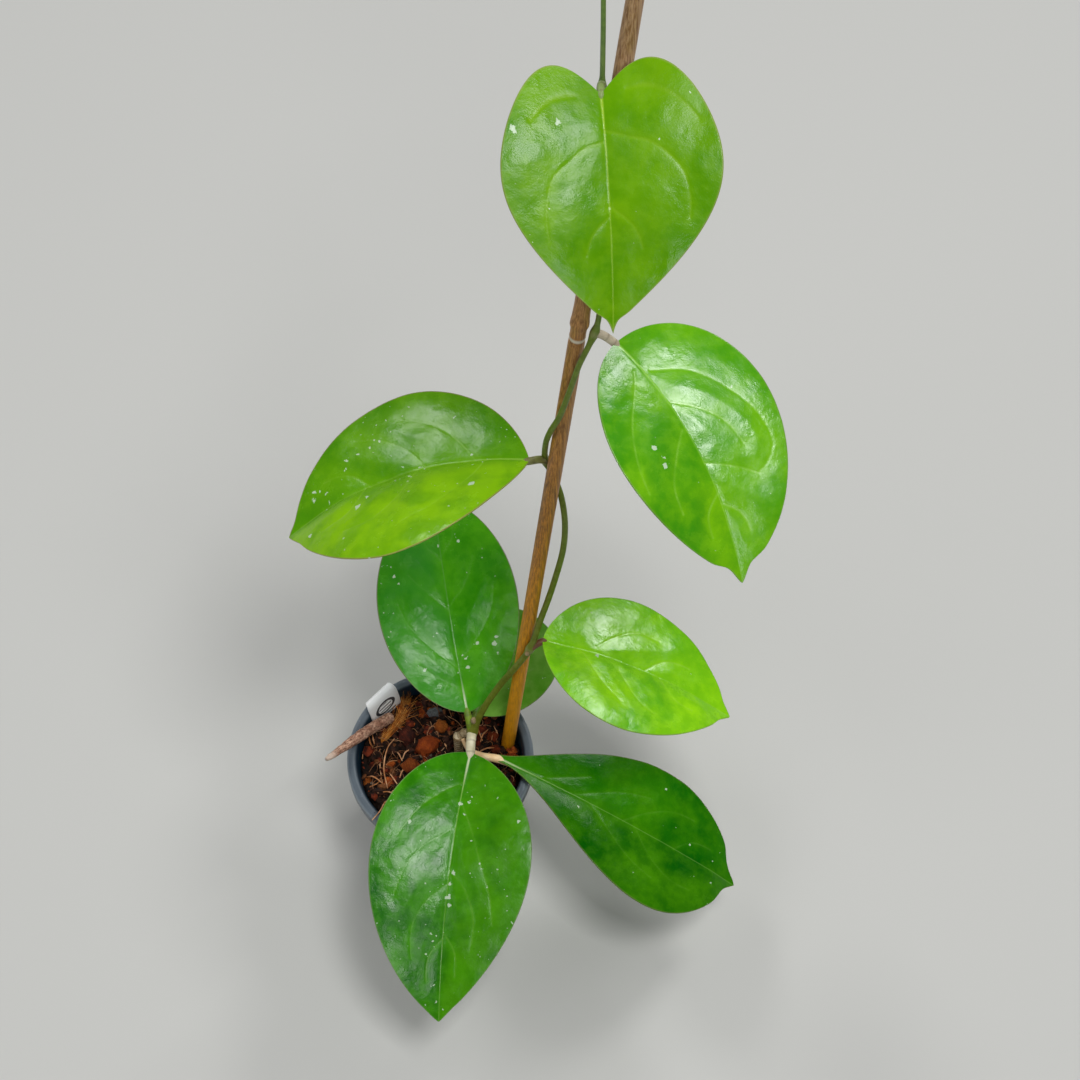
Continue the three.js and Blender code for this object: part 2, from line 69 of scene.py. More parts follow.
def piece(name, bm, materials, smooth=True):
    """The finished mesh as an object at the origin."""
    mesh = bpy.data.meshes.new(name)
    for face in bm.faces:
        face.smooth = smooth
    bm.to_mesh(mesh)
    bm.free()
    for material in materials:
        mesh.materials.append(material)
    made = bpy.data.objects.new(name, mesh)
    bpy.context.scene.collection.objects.link(made)
    return made


def as_modified(made):
    """The mesh that an object's modifiers make, which are then taken off it."""
    bpy.context.view_layer.update()
    mesh = bpy.data.meshes.new_from_object(
        made.evaluated_get(bpy.context.evaluated_depsgraph_get()))
    made.modifiers.clear()
    return mesh


def put(tree, kind, inputs=None, **settings):
    """A shader node with its settings and sockets filled in; a socket value may be a link."""
    made = tree.nodes.new(kind)
    for key, value in settings.items():
        setattr(made, key, value)
    for key, value in (inputs or {}).items():
        socket = made.inputs[key]
        if isinstance(value, bpy.types.NodeSocket):
            tree.links.new(value, socket)
        else:
            socket.default_value = value
    return made


def maths(tree, operation, *values):
    """The outcome of one sum on values, each a number or a link."""
    return put(tree, "ShaderNodeMath", dict(enumerate(values)), operation=operation).outputs[0]


def ranged(tree, value, low, high, start=0.0, end=1.0, curve="LINEAR"):
    """A value taken from low..high to start..end, and held at its ends."""
    return put(tree, "ShaderNodeMapRange", {0: value, 1: low, 2: high, 3: start, 4: end},
               interpolation_type=curve).outputs[0]


def blend(tree, amount, under, over):
    """One colour laid over another: only under where amount is 0, only over where it is 1."""
    return put(tree, "ShaderNodeMix", {0: amount, 6: under, 7: over},
               data_type="RGBA").outputs[2]


def speckle(tree, vector, scale, detail, rough=0.5):
    """Cloudy noise, brighter and darker about a half."""
    return put(tree, "ShaderNodeTexNoise", {"Vector": vector, "Scale": scale, "Detail": detail,
                                            "Roughness": rough}).outputs["Fac"]


def new_group(name, sockets_in, sockets_out):
    """An empty shader group with named sockets: name -> (kind, default)."""
    group = bpy.data.node_groups.new(name, "ShaderNodeTree")
    for label, (kind, value) in sockets_in.items():
        socket = group.interface.new_socket(label, in_out="INPUT", socket_type=kind)
        if value is not None:
            socket.default_value = value
    for label, kind in sockets_out.items():
        group.interface.new_socket(label, in_out="OUTPUT", socket_type=kind)
    given = group.nodes.new("NodeGroupInput")
    return group, given.outputs, group.nodes.new("NodeGroupOutput").inputs


FLOAT, COLOUR, VECTOR = "NodeSocketFloat", "NodeSocketColor", "NodeSocketVector"

# Two-tone mottling with a fine bump, on Object coordinates; every material here uses it.
mottle, given, wanted = new_group(
    "mottle",
    {"First": (COLOUR, (0.1, 0.1, 0.1, 1)), "Second": (COLOUR, (0.2, 0.2, 0.2, 1)),
     "Scale": (FLOAT, 60.0), "Contrast": (FLOAT, 0.5), "Fine scale": (FLOAT, 900.0)},
    {"Colour": COLOUR, "Mask": FLOAT, "Height": FLOAT})
place = put(mottle, "ShaderNodeTexCoord").outputs["Object"]
broad = speckle(mottle, place, given["Scale"], 5.0, 0.55)
contrast = maths(mottle, "MULTIPLY", given["Contrast"], 6.0)
mask = put(mottle, "ShaderNodeMath", {0: maths(mottle, "SUBTRACT", broad, 0.5), 1: contrast,
                                      2: 0.5}, operation="MULTIPLY_ADD", use_clamp=True)
mottle.links.new(blend(mottle, mask.outputs[0], given["First"], given["Second"]),
                 wanted["Colour"])
mottle.links.new(mask.outputs[0], wanted["Mask"])
mottle.links.new(speckle(mottle, place, given["Fine scale"], 3.0), wanted["Height"])


def new_material(name, roughness=0.6, coat=0.0, specular=0.5):
    """A material with one Principled shader, ready for its colour, roughness and bump."""
    material = bpy.data.materials.new(name)
    material.use_nodes = True
    shader = material.node_tree.nodes["Principled BSDF"]
    for socket, value in (("Roughness", roughness), ("Coat Weight", coat),
                          ("Coat Roughness", 0.2), ("Specular IOR Level", specular)):
        shader.inputs[socket].default_value = value
    return material, material.node_tree, shader


def grouped(tree, group, **values):
    """A shader group in a material, with its own values; returns its outputs."""
    return put(tree, "ShaderNodeGroup", {key.replace("_", " "): value
                                         for key, value in values.items()},
               node_tree=group).outputs


def mottled(tree, first, second, scale, contrast, fine_scale):
    """The mottling of one material, between two colours."""
    return grouped(tree, mottle, First=paint(first), Second=paint(second), Scale=scale,
                   Contrast=contrast, Fine_scale=fine_scale)


def dress(tree, shader, colour, height, strength, depth):
    """The surface's colour, and its relief from a height."""
    tree.links.new(colour, shader.inputs["Base Color"])
    bump = put(tree, "ShaderNodeBump", {"Height": height, "Strength": strength,
                                        "Distance": depth})
    tree.links.new(bump.outputs["Normal"], shader.inputs["Normal"])


pot_plastic, tree, shader = new_material("pot_plastic", roughness=0.42)
tones = mottled(tree, "4a545d", "5d6973", scale=30.0, contrast=0.35, fine_scale=1600.0)
place = put(tree, "ShaderNodeTexCoord").outputs["Object"]
place_x, place_y, place_z = put(tree, "ShaderNodeSeparateXYZ", {0: place}).outputs
plan = put(tree, "ShaderNodeCombineXYZ", {0: place_x, 1: place_y}).outputs[0]
radius = put(tree, "ShaderNodeVectorMath", {0: plan}, operation="LENGTH").outputs["Value"]
scuffs = speckle(tree, place, 240.0, 6.0, 0.7)
colour = blend(tree, ranged(tree, scuffs, 0.6, 0.72), tones["Colour"], paint("78828b"))
worn_lip = maths(tree, "MULTIPLY", ranged(tree, radius, 0.0439, 0.0449),
                 ranged(tree, place_z, 0.0776, 0.0792, 0.0, 0.7))
colour = blend(tree, worn_lip, colour, paint("97a1a8"))
# The inside of the wall is painted blue-black: painted shade in the pot above the mix.
inside = ranged(tree, maths(tree, "MULTIPLY_ADD", place_z, -WALL_LEAN, radius), 0.0328, 0.0321)
painted_inner_shade = blend(tree, scuffs, paint("04121c"), paint("0c3448"))
dress(tree, shader, blend(tree, inside, colour, painted_inner_shade), tones["Height"], 0.12, 0.0002)
tree.links.new(ranged(tree, tones["Mask"], 0.0, 1.0, 0.36, 0.52), shader.inputs["Roughness"])

bm = bmesh.new()
profile = [bm.verts.new((r * MM, 0, z * MM)) for r, z in POT_PROFILE_MM]
rails = [bm.edges.new(pair) for pair in zip(profile, profile[1:])]
bmesh.ops.spin(bm, geom=profile + rails, cent=(0, 0, 0), axis=(0, 0, 1), angle=math.tau,
               steps=POT_SIDES, use_merge=True, use_duplicate=False)
bmesh.ops.remove_doubles(bm, verts=bm.verts, dist=1e-6)
bmesh.ops.recalc_face_normals(bm, faces=bm.faces)
pot = piece("nursery_pot", bm, [pot_plastic])
bm = bmesh.new()
for hole in range(DRAIN_HOLES):
    turn = (hole + 0.5) / DRAIN_HOLES * math.tau
    spot = Matrix.Translation((DRAIN_CIRCLE_MM * MM * math.cos(turn),
                               DRAIN_CIRCLE_MM * MM * math.sin(turn), FLOOR_MIDDLE_MM * MM))
    bmesh.ops.create_cone(bm, cap_ends=True, segments=32, radius1=DRAIN_RADIUS_MM * MM,
                          radius2=DRAIN_RADIUS_MM * MM, depth=6 * MM, matrix=spot)
punch = piece("drain_punch", bm, [])
cut = pot.modifiers.new("drain holes", "BOOLEAN")
cut.operation, cut.object, cut.solver = "DIFFERENCE", punch, "EXACT"
pierced = as_modified(pot)
bpy.data.objects.remove(punch)
bm = bmesh.new()
bm.from_mesh(pierced)
bmesh.ops.remove_doubles(bm, verts=bm.verts, dist=2e-6)
bmesh.ops.dissolve_degenerate(bm, edges=bm.edges, dist=2e-6)
bm.to_mesh(pierced)
bm.free()
pierced.set_sharp_from_angle(angle=math.radians(40))
pot.data = pierced
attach(pot, "root")
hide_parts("pot")

# ---------------------------------------------------------------------------------------------
# The potting mix: damp composted bark and coir, nearly black, pressed down round the roots.
# Its lumps lie loose on top, where orange husk crumbs and pale threads of coir catch the light.
MIX_REACH_MM = 38
MIX_TOP_FROM = 0.055  # all of the mix above this height belongs to its uneven top
MIX_GRAIN = 0.0009  # the size of the facets of its body
CANE_FOOT_MM, STEM_FOOT_MM = (31.9, 10.4), (8.5, 7.4)
UNDER_RIM = 0.079  # from where the top of the mix is felt for
BANK_FROM_MM, BANK_WIDE_MM = 30, 6
HEAP_TALL_MM, HEAP_WIDE_MM = 5.5, 7
CRUMB_TRIES, CRUMB_REACH, CRUMB_CLEAR_MM = 900, 0.0389, 4.6
CRUMB_FINISHES = {
    "dark_bark": ("1c100b", "48291d"), "red_bark": ("40160b", "7c3014"),
    "orange_husk": ("7e3410", "b85c20"), "coir_brown": ("503019", "8a5430"),
    "pale_crumb": ("5d524a", "8d7d6a"),
}
CRUMB_SHARES = (52, 24, 8, 14, 2)
BIG_CRUMBS_MM = [(35.2, 6.6, 2.6, 2), (-25, -3, 3.6, 3), (-22, -8, 2.8, 1), (-31, 1, 2.4, 3),
                 (-2, 12, 2.2, 1), (19, 15, 2.4, 1), (-28, -13, 2.6, 3)]  # x, y, radius, kind


def copied(node):
    """A merged copy of a solid's mesh, to be made finer."""
    made = bmesh.new()
    made.from_mesh(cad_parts[node].data)
    bmesh.ops.remove_doubles(made, verts=made.verts, dist=2e-6)
    return made


def worn(bm, amount, scale, seed):
    """Pushes every point in or out along its normal by smooth noise."""
    bm.normal_update()
    moves = [v.normal * amount * noise.fractal(v.co * scale + Vector((seed, 0, 0)), 1.0, 2.0, 4)
             for v in bm.verts]
    for v, move in zip(bm.verts, moves):
        v.co += move


damp_mix, tree, shader = new_material("damp_mix", roughness=0.85, specular=0.25)
tones = mottled(tree, "0d0907", "2c1a10", scale=260.0, contrast=0.8, fine_scale=2200.0)
dress(tree, shader, tones["Colour"], tones["Height"], 0.9, 0.0008)

crumb_materials = []
for name, (dark, light) in CRUMB_FINISHES.items():
    material, tree, shader = new_material(name, roughness=0.85, specular=0.25)
    tones = mottled(tree, dark, light, scale=500.0, contrast=0.7, fine_scale=3000.0)
    dress(tree, shader, tones["Colour"], tones["Height"], 0.8, 0.0004)
    crumb_materials.append(material)

mix = piece("potting_mix_body", copied("potting_mix"), [damp_mix])
remesh = mix.modifiers.new("even skin", "REMESH")
remesh.mode, remesh.voxel_size, remesh.use_smooth_shade = "VOXEL", MIX_GRAIN, True
even = as_modified(mix)
bm = bmesh.new()
bm.from_mesh(even)
for v in bm.verts:
    out = math.hypot(v.co.x, v.co.y) / MM
    if v.co.z > MIX_TOP_FROM and out > BANK_FROM_MM:
        # The mix is banked up against the leaning wall, most of all on the left.
        bank = min(1, (out - BANK_FROM_MM) / BANK_WIDE_MM) * (4.4 - 2.4 * v.co.x / 0.04) * MM
        v.co.z += bank
        spread_out = 1 + 0.105 * bank / (out * MM)
        v.co.x, v.co.y = v.co.x * spread_out, v.co.y * spread_out
for v in bm.verts:
    if v.co.z > MIX_TOP_FROM:
        # It is heaped up round the foot of the cane, which was firmed in by hand.
        off = math.hypot(v.co.x / MM - CANE_FOOT_MM[0], v.co.y / MM - CANE_FOOT_MM[1])
        v.co.z += HEAP_TALL_MM * MM * math.exp(-(off / HEAP_WIDE_MM) ** 2)
worn(bm, 0.0007, 420.0, 3.0)
mix_surface = BVHTree.FromBMesh(bm)
bmesh.ops.recalc_face_normals(bm, faces=bm.faces)
for face in bm.faces:
    face.smooth = True
bm.to_mesh(even)
bm.free()
even.materials.clear()
even.materials.append(damp_mix)
mix.data = even
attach(mix, "root")
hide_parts("potting_mix")


def mix_height(x, y):
    """The top of the mix at a place, or None over a hole."""
    hit = mix_surface.ray_cast(Vector((x, y, UNDER_RIM)), Vector((0, 0, -1)))
    return hit[0].z if hit[0] is not None and MIX_TOP_FROM < hit[0].z < 0.0765 else None


def clear_of_stems(x, y, room):
    """Whether a place is at least room, in mm, from the cane and from the old stem."""
    return all(math.hypot(x - a * MM, y - b * MM) > room * MM
               for a, b in (CANE_FOOT_MM, STEM_FOOT_MM))


scatter = random.Random(21)
bm = bmesh.new()
for crumb in range(CRUMB_TRIES):
    reach = MIX_REACH_MM * MM * math.sqrt(scatter.random())
    turn = scatter.random() * math.tau
    x, y = reach * math.cos(turn), reach * math.sin(turn)
    size = (0.6 + 2.5 * scatter.random() ** 3) * MM
    kind = scatter.choices(range(5), CRUMB_SHARES)[0]
    spin = Matrix.Rotation(scatter.random() * 6, 4, "X") @ Matrix.Rotation(
        scatter.random() * 6, 4, "Z")
    stretch = [0.35 + 1.1 * scatter.random() for _ in range(3)]
    if crumb < len(BIG_CRUMBS_MM):
        x, y, size, kind = BIG_CRUMBS_MM[crumb]
        x, y, size, stretch = x * MM, y * MM, size * MM, (1, 0.8, 0.7)
    ground = mix_height(x, y)
    if ground is None or math.hypot(x, y) + size > CRUMB_REACH:
        continue
    if crumb >= len(BIG_CRUMBS_MM) and not clear_of_stems(x, y, CRUMB_CLEAR_MM):
        continue
    shape = bmesh.ops.create_icosphere(bm, subdivisions=1, radius=size)["verts"]
    bmesh.ops.scale(bm, vec=stretch, verts=shape)
    for v in shape:
        v.co *= 0.72 + 0.5 * scatter.random()
    bmesh.ops.transform(bm, matrix=Matrix.Translation((x, y, ground + size * 0.2)) @ spin,
                        verts=shape)
    for face in {f for v in shape for f in v.link_faces}:
        face.material_index = kind
crumbs = piece("mix_crumbs", bm, crumb_materials, smooth=False)
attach(crumbs, "root")
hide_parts("potting_mix")

# Coir threads: stiff hairs from the husk and thin dry roots, each held by both ends in the mix.
LAID_THREADS_MM = [
    [(-23, 13.4), (-26, 6.5), (-27.5, -3), (-25.5, -13.5)], [(-30, 8.5), (-29.5, -2), (-28, -10.5)],
    [(-38, 1.6), (-37.5, 4.4), (-36, 5.6), (-30.5, 5.3)], [(-36, -7.3), (-32, -9), (-26.5, -12)],
    [(-25.5, -4), (-23.5, -7), (-21, -10.5)], [(-15, 0.5), (-18.5, -3), (-20.5, -9.5)],
    [(-35, 12.5), (-34.5, 9.5), (-32.5, 7)], [(-33.5, 14), (-33, 11), (-32, 8)],
    [(-24, 8), (-21, 6), (-19, 2.5)], [(-14, 9), (-17.5, 6.5), (-19, 3.5)],
    [(16.5, 6), (22, 6.4), (27.5, 8)], [(19, 11.5), (20, 14.5), (22.5, 19)],
    [(1, 12), (2, 10), (3, 8)], [(25.5, 19), (27, 15.5), (26.5, 11.5)],
    [(-27.5, -1.5), (-25, 1.5), (-21.5, 3)], [(-34, -13), (-30, -10), (-29, -4)],
    [(20, -20), (12, -23), (2, -24)], [(-6, -14), (-14, -20), (-16, -27)],
    [(10, 24), (16, 20), (20, 12)], [(-30, -17), (-24, -16), (-19, -20)],
]
THREAD_ARCH_MM, THREAD_END_MM = 3.3, 1.2  # how far a thread stands over the mix
HAIR_TRIES, HAIR_REACH, HAIR_CLEAR_MM, HAIR_END_DEEP = 420, 0.0375, 5.5, 0.0008
RIM_THREAD_MM = [(-25.6, -17, 66), (-26.6, -22.5, 76), (-28.4, -29.2, 82.2), (-31.6, -33.6, 83.2)]


def smooth_line(points, count):
    """Evenly spaced points on a smooth line through the given ones (a centripetal spline)."""
    given = [Vector(p) for p in points]
    given = [given[0] * 2 - given[1]] + given + [given[-1] * 2 - given[-2]]
    dense = []
    for a, b, c, d in zip(given, given[1:], given[2:], given[3:]):
        k1 = (b - a).length ** 0.5
        k2 = k1 + (c - b).length ** 0.5
        k3 = k2 + (d - c).length ** 0.5
        for i in range(16):
            k = k1 + (k2 - k1) * i / 16
            p = a.lerp(b, k / k1)
            q = b.lerp(c, (k - k1) / (k2 - k1))
            r = c.lerp(d, (k - k2) / (k3 - k2))
            p, q = p.lerp(q, k / k2), q.lerp(r, (k - k1) / (k3 - k1))
            dense.append(p.lerp(q, (k - k1) / (k2 - k1)))
    dense.append(given[-2])
    run = [0.0]
    for a, b in zip(dense, dense[1:]):
        run.append(run[-1] + (b - a).length)
    even_line, j = [], 0
    for i in range(count + 1):
        want = run[-1] * i / count
        while j + 2 < len(run) and run[j + 1] < want:
            j += 1
        even_line.append(dense[j].lerp(dense[j + 1], (want - run[j]) / (run[j + 1] - run[j])))
    return even_line


def draw_rod(bm, line, radius_at, sides, wide=1.0, shade=0.0, material=0):
    """A rod: a circle drawn on from station to station along the line, capped at both ends.
    Each point carries how far along and how far round it lies, for patterns that follow the
    rod, and a shade of its own. The radius is asked for at 0 to 1 along the line."""
    rod = bmesh.new()
    along, around, own_shade = (rod.verts.layers.float.new(key)
                                for key in ("along", "around", "shade"))
    across = (line[1] - line[0]).orthogonal().normalized()
    before = loop = None
    for i, point in enumerate(line):
        ahead = (line[min(i + 1, len(line) - 1)] - line[max(i - 1, 0)]).normalized()
        across = (across - ahead * across.dot(ahead)).normalized()
        third = ahead.cross(across)
        u = i / (len(line) - 1)
        r = radius_at(u)
        station = Matrix((across * r * wide, third * r, ahead * r)).transposed().to_4x4()
        station.translation = point
        if before is None:
            ring = bmesh.ops.create_circle(rod, cap_ends=False, radius=1.0,
                                           segments=sides)["verts"]
            loop = rod.edges[:]
            for v in ring:
                v[around], v[own_shade] = math.atan2(v.co.y, v.co.x) / math.tau, shade
            bmesh.ops.transform(rod, matrix=station, verts=ring)
            bmesh.ops.edgeloop_fill(rod, edges=loop)
        else:
            drawn = bmesh.ops.extrude_edge_only(rod, edges=loop)["geom"]
            ring = [g for g in drawn if isinstance(g, bmesh.types.BMVert)]
            loop = [g for g in drawn if isinstance(g, bmesh.types.BMEdge)]
            bmesh.ops.transform(rod, matrix=station @ before.inverted(), verts=ring)
        for v in ring:
            v[along] = u
        before = station
    bmesh.ops.edgeloop_fill(rod, edges=loop)
    bmesh.ops.recalc_face_normals(rod, faces=rod.faces)
    for face in rod.faces:
        face.material_index = material
    scratch = bpy.data.meshes.new("scratch_rod")
    rod.to_mesh(scratch)
    rod.free()
    bm.from_mesh(scratch)
    bpy.data.meshes.remove(scratch)


def carried(tree, name):
    """A number that each point of the mesh carries, such as how far along a rod it lies."""
    return put(tree, "ShaderNodeAttribute", attribute_name=name).outputs["Fac"]


thread_tan, tree, shader = new_material("dry_thread", roughness=0.75, specular=0.3)
tones = mottled(tree, "b07040", "e8b488", scale=160.0, contrast=0.8, fine_scale=2500.0)
shaded = blend(tree, carried(tree, "shade"), paint("52280f"), tones["Colour"])
dress(tree, shader, shaded, tones["Height"], 0.5, 0.0002)

bm = bmesh.new()
lines = [RIM_THREAD_MM]
for places in LAID_THREADS_MM:
    lines.append([(x, y, (mix_height(x * MM, y * MM) or 0.072) / MM
                   + (THREAD_ARCH_MM if 0 < i < len(places) - 1 else THREAD_END_MM))
                  for i, (x, y) in enumerate(places)])
for points in lines:
    draw_rod(bm, smooth_line([Vector(p) * MM for p in points], 30),
             lambda u: (0.37 - 0.13 * abs(2 * u - 1)) * MM, 8, shade=1.0)
for hair in range(HAIR_TRIES):
    reach = (MIX_REACH_MM - 2) * MM * math.sqrt(scatter.random())
    turn, heading = scatter.random() * math.tau, scatter.random() * math.tau
    x, y = reach * math.cos(turn), reach * math.sin(turn)
    span = (4 + 13 * scatter.random() ** 1.5) * MM
    arch = (0.8 + 3.2 * scatter.random() ** 1.5) * MM
    bend = (scatter.random() - 0.5) * 0.7 * span
    thin = (0.07 + 0.13 * scatter.random()) * MM
    dx, dy = math.cos(heading), math.sin(heading)
    stops = [(x - dx * span / 2, y - dy * span / 2), (x - dy * bend, y + dx * bend),
             (x + dx * span / 2, y + dy * span / 2)]
    grounds = [mix_height(*s) for s in stops]
    if None in grounds or any(math.hypot(*s) > HAIR_REACH for s in stops):
        continue
    if not all(clear_of_stems(*s, HAIR_CLEAR_MM) for s in stops):
        continue
    hair_line = smooth_line([(*stops[0], grounds[0] - HAIR_END_DEEP),
                             (*stops[1], max(grounds) + arch * 0.5),
                             (*stops[2], grounds[2] - HAIR_END_DEEP)], 9)
    draw_rod(bm, hair_line, lambda u: thin, 5, shade=scatter.random())
bmesh.ops.recalc_face_normals(bm, faces=bm.faces)
threads = piece("coir_threads", bm, [thread_tan])
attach(threads, "root")
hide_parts("potting_mix")

# ---------------------------------------------------------------------------------------------
# The loose pieces on top: chips chopped from coconut husk, with a coarse fibrous grain along
# them, a red-brown bark chip and a chip of grey stone. They lie where they fell at potting.
CHIP_FINISH = {
    "husk_chip_1": ("7a300c", "a64c14", (0.3, 0.2, 0.5)),
    "husk_chip_2": ("743410", "a0541c", (0.9, 0.3, 0.2)),
    "husk_chip_3": ("7c2c08", "a84c12", (0.2, 1.0, 0.4)),
    "husk_chip_4": ("5e2008", "96400e", (1.2, 0.1, 0.6)),
    "husk_chip_5": ("80400f", "b46a28", (0.5, 0.7, 0.1)),
    "husk_chip_6": ("7a3a10", "a8601e", (0.1, 0.4, 1.1)),
    "bark_chip_1": ("30140e", "6c2c1a", (0.6, 0.2, 0.3)),
    "grit_1": ("565a5c", "94989a", (0.4, 0.9, 0.8)),
}  # dark, light and how the grain is turned
RIDGE = 0.0005

# Streaks drawn out along Z; the bamboo, the twig and the husk use them too.
streaks, given, wanted = new_group(
    "lengthwise streaks",
    {"Vector": (VECTOR, None), "Across": (FLOAT, 1200.0), "Along": (FLOAT, 60.0)},
    {"Mask": FLOAT, "Height": FLOAT})
stretch = put(streaks, "ShaderNodeCombineXYZ", {0: given["Across"], 1: given["Across"],
                                                2: given["Along"]}).outputs[0]
pulled = put(streaks, "ShaderNodeVectorMath", {0: given["Vector"], 1: stretch},
             operation="MULTIPLY").outputs[0]
grain = speckle(streaks, pulled, 1.0, 4.0, 0.6)
streaks.links.new(ranged(streaks, grain, 0.35, 0.65), wanted["Mask"])
streaks.links.new(grain, wanted["Height"])

for seed, (node, (dark, light, turn)) in enumerate(CHIP_FINISH.items()):
    material, tree, shader = new_material(node + "_finish", roughness=0.88, specular=0.25)
    place = put(tree, "ShaderNodeTexCoord").outputs["Object"]
    turned = put(tree, "ShaderNodeMapping", {0: place, "Rotation": turn}).outputs[0]
    fibre = grouped(tree, streaks, Vector=turned, Across=1500.0,
                    Along=1500.0 if node == "grit_1" else 160.0)
    tones = mottled(tree, dark, light, scale=220.0, contrast=0.5, fine_scale=2600.0)
    dress(tree, shader, blend(tree, fibre["Mask"], paint(dark), tones["Colour"]),
          fibre["Height"], 1.0, 0.0007)
    bm = copied(node)
    bmesh.ops.bevel(bm, geom=bm.edges[:], offset=0.0003, offset_type="OFFSET", segments=1,
                    profile=0.5, affect="EDGES", material=-1)
    bmesh.ops.triangulate(bm, faces=bm.faces[:])
    bmesh.ops.subdivide_edges(bm, edges=bm.edges[:], cuts=4, use_grid_fill=True)
    bmesh.ops.triangulate(bm, faces=bm.faces[:])
    worn(bm, 0.0005, 300.0, seed * 3.7)
    along_fibre = Euler(turn).to_matrix()
    stretch = Vector((1100, 1100, 130)) if node.startswith("husk") else Vector((700, 700, 700))
    bm.normal_update()
    ridges = [v.normal * RIDGE * noise.noise((along_fibre @ v.co) * stretch
                                             + Vector((seed, 0, 0))) for v in bm.verts]
    for v, ridge in zip(bm.verts, ridges):
        v.co += ridge
    bmesh.ops.recalc_face_normals(bm, faces=bm.faces)
    chip = piece(node + "_piece", bm, [material])
    chip.data.set_sharp_from_angle(angle=math.radians(38))
    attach(chip, "root")
    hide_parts(node)

# ---------------------------------------------------------------------------------------------
# The bark twig: a broken stick with its bark still on, laid across the rim. The bark is cracked
# lengthwise; the thin end outside the pot is snapped and shows pale wood.
TWIG_MM = [(-53.9, -5.2, 89.2), (-48.7, -0.4, 87.4), (-43.3, 4.8, 85.2), (-38.8, 9.1, 83.2),
           (-31.4, 16.2, 79.4), (-24.4, 22.6, 75)]


def unrolled(tree):
    """Where a point lies on a rod: how far round it in X, how far along it in Z."""
    return put(tree, "ShaderNodeCombineXYZ", {0: carried(tree, "around"),
                                              2: carried(tree, "along")}).outputs[0]


def twig_radius(u):
    """Thin where it is snapped, then tapered, and rounded off at the thick end."""
    if u < 0.04:
        return (0.8 + 12 * u) * MM
    return (1.45 + 1.25 * min(1, (u - 0.04) * 2) - 2.4 * max(0, u - 0.97) * 10) * MM


twig_bark, tree, shader = new_material("twig_bark", roughness=0.85, specular=0.25)
cracks = grouped(tree, streaks, Vector=unrolled(tree), Across=14.0, Along=26.0)
tones = mottled(tree, "b08068", "e8bca0", scale=260.0, contrast=0.8, fine_scale=2400.0)
ridged = blend(tree, cracks["Mask"], paint("6e4a3a"), tones["Colour"])
snapped = ranged(tree, carried(tree, "along"), 0.15, 0.06)
dress(tree, shader, blend(tree, snapped, ridged, paint("d6c0ae")), cracks["Height"], 1.0, 0.0009)

bm = bmesh.new()
draw_rod(bm, smooth_line([Vector(p) * MM for p in TWIG_MM], 110), twig_radius, 40)
worn(bm, 0.00022, 330.0, 9.0)
worn(bm, 0.0002, 1300.0, 19.0)
bmesh.ops.recalc_face_normals(bm, faces=bm.faces)
twig = piece("bark_twig_piece", bm, [twig_bark])
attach(twig, "root")
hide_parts("bark_twig")

# ---------------------------------------------------------------------------------------------
# The husk strip: a torn ribbon of coconut fibre, its hairs combed one way and frayed loose at
# the edges and at the upper end.
STRIP_MM = [(-31, 9.8, 69.6), (-26.4, 15.6, 70.6), (-20.6, 23.2, 71.4), (-16.4, 32, 71.8)]
STRIP_STEPS, STRIP_HAIRS = 40, 260

husk_fibre, tree, shader = new_material("husk_fibre", roughness=0.8, specular=0.3)
tones = mottled(tree, "cc6c16", "ffb85c", scale=420.0, contrast=0.8, fine_scale=2600.0)
shaded = blend(tree, carried(tree, "shade"), paint("6a3410"), tones["Colour"])
dress(tree, shader, shaded, tones["Height"], 0.6, 0.0003)
husk_ribbon, tree, shader = new_material("husk_ribbon", roughness=0.8, specular=0.3)
fibres = grouped(tree, streaks, Vector=unrolled(tree), Across=34.0, Along=4.0)
tones = mottled(tree, "dc8020", "ffbe60", scale=260.0, contrast=0.6, fine_scale=2600.0)
combed = blend(tree, fibres["Mask"], paint("7c3e10"), tones["Colour"])
dress(tree, shader, combed, fibres["Height"], 1.0, 0.0006)

bm = bmesh.new()
core = smooth_line([Vector(p) * MM for p in STRIP_MM], STRIP_STEPS)
draw_rod(bm, core, lambda u: (1.05 + 0.25 * math.sin(u * 9) * u - 0.5 * u ** 4) * MM, 28, 1.9,
         material=1)
fray = random.Random(5)
for hair in range(STRIP_HAIRS):
    start = 0.1 + fray.random() * 0.7
    finish = min(1.0, start + 0.2 + 0.45 * fray.random())
    side = Vector((fray.gauss(0, 1), fray.gauss(0, 1), fray.gauss(0.3, 0.8)))
    side *= 0.0008 + 0.0006 * finish
    loose = Vector((fray.gauss(0, 1), fray.gauss(0, 1), fray.gauss(0.5, 0.6)))
    loose *= 0.0035 * fray.random() ** 2 * (0.4 + finish)
    picks = [core[round((start + (finish - start) * k / 3) * STRIP_STEPS)] for k in range(4)]
    lay = [p + side * (0.7 + 0.4 * k / 3) + loose * (k / 3) ** 2 for k, p in enumerate(picks)]
    hair_radius = (0.07 + 0.13 * fray.random()) * MM
    draw_rod(bm, smooth_line(lay, 9), lambda u: hair_radius * (1.1 - 0.7 * u), 5,
             shade=fray.random())
strip = piece("husk_strip_piece", bm, [husk_fibre, husk_ribbon])
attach(strip, "root")
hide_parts("husk_strip")

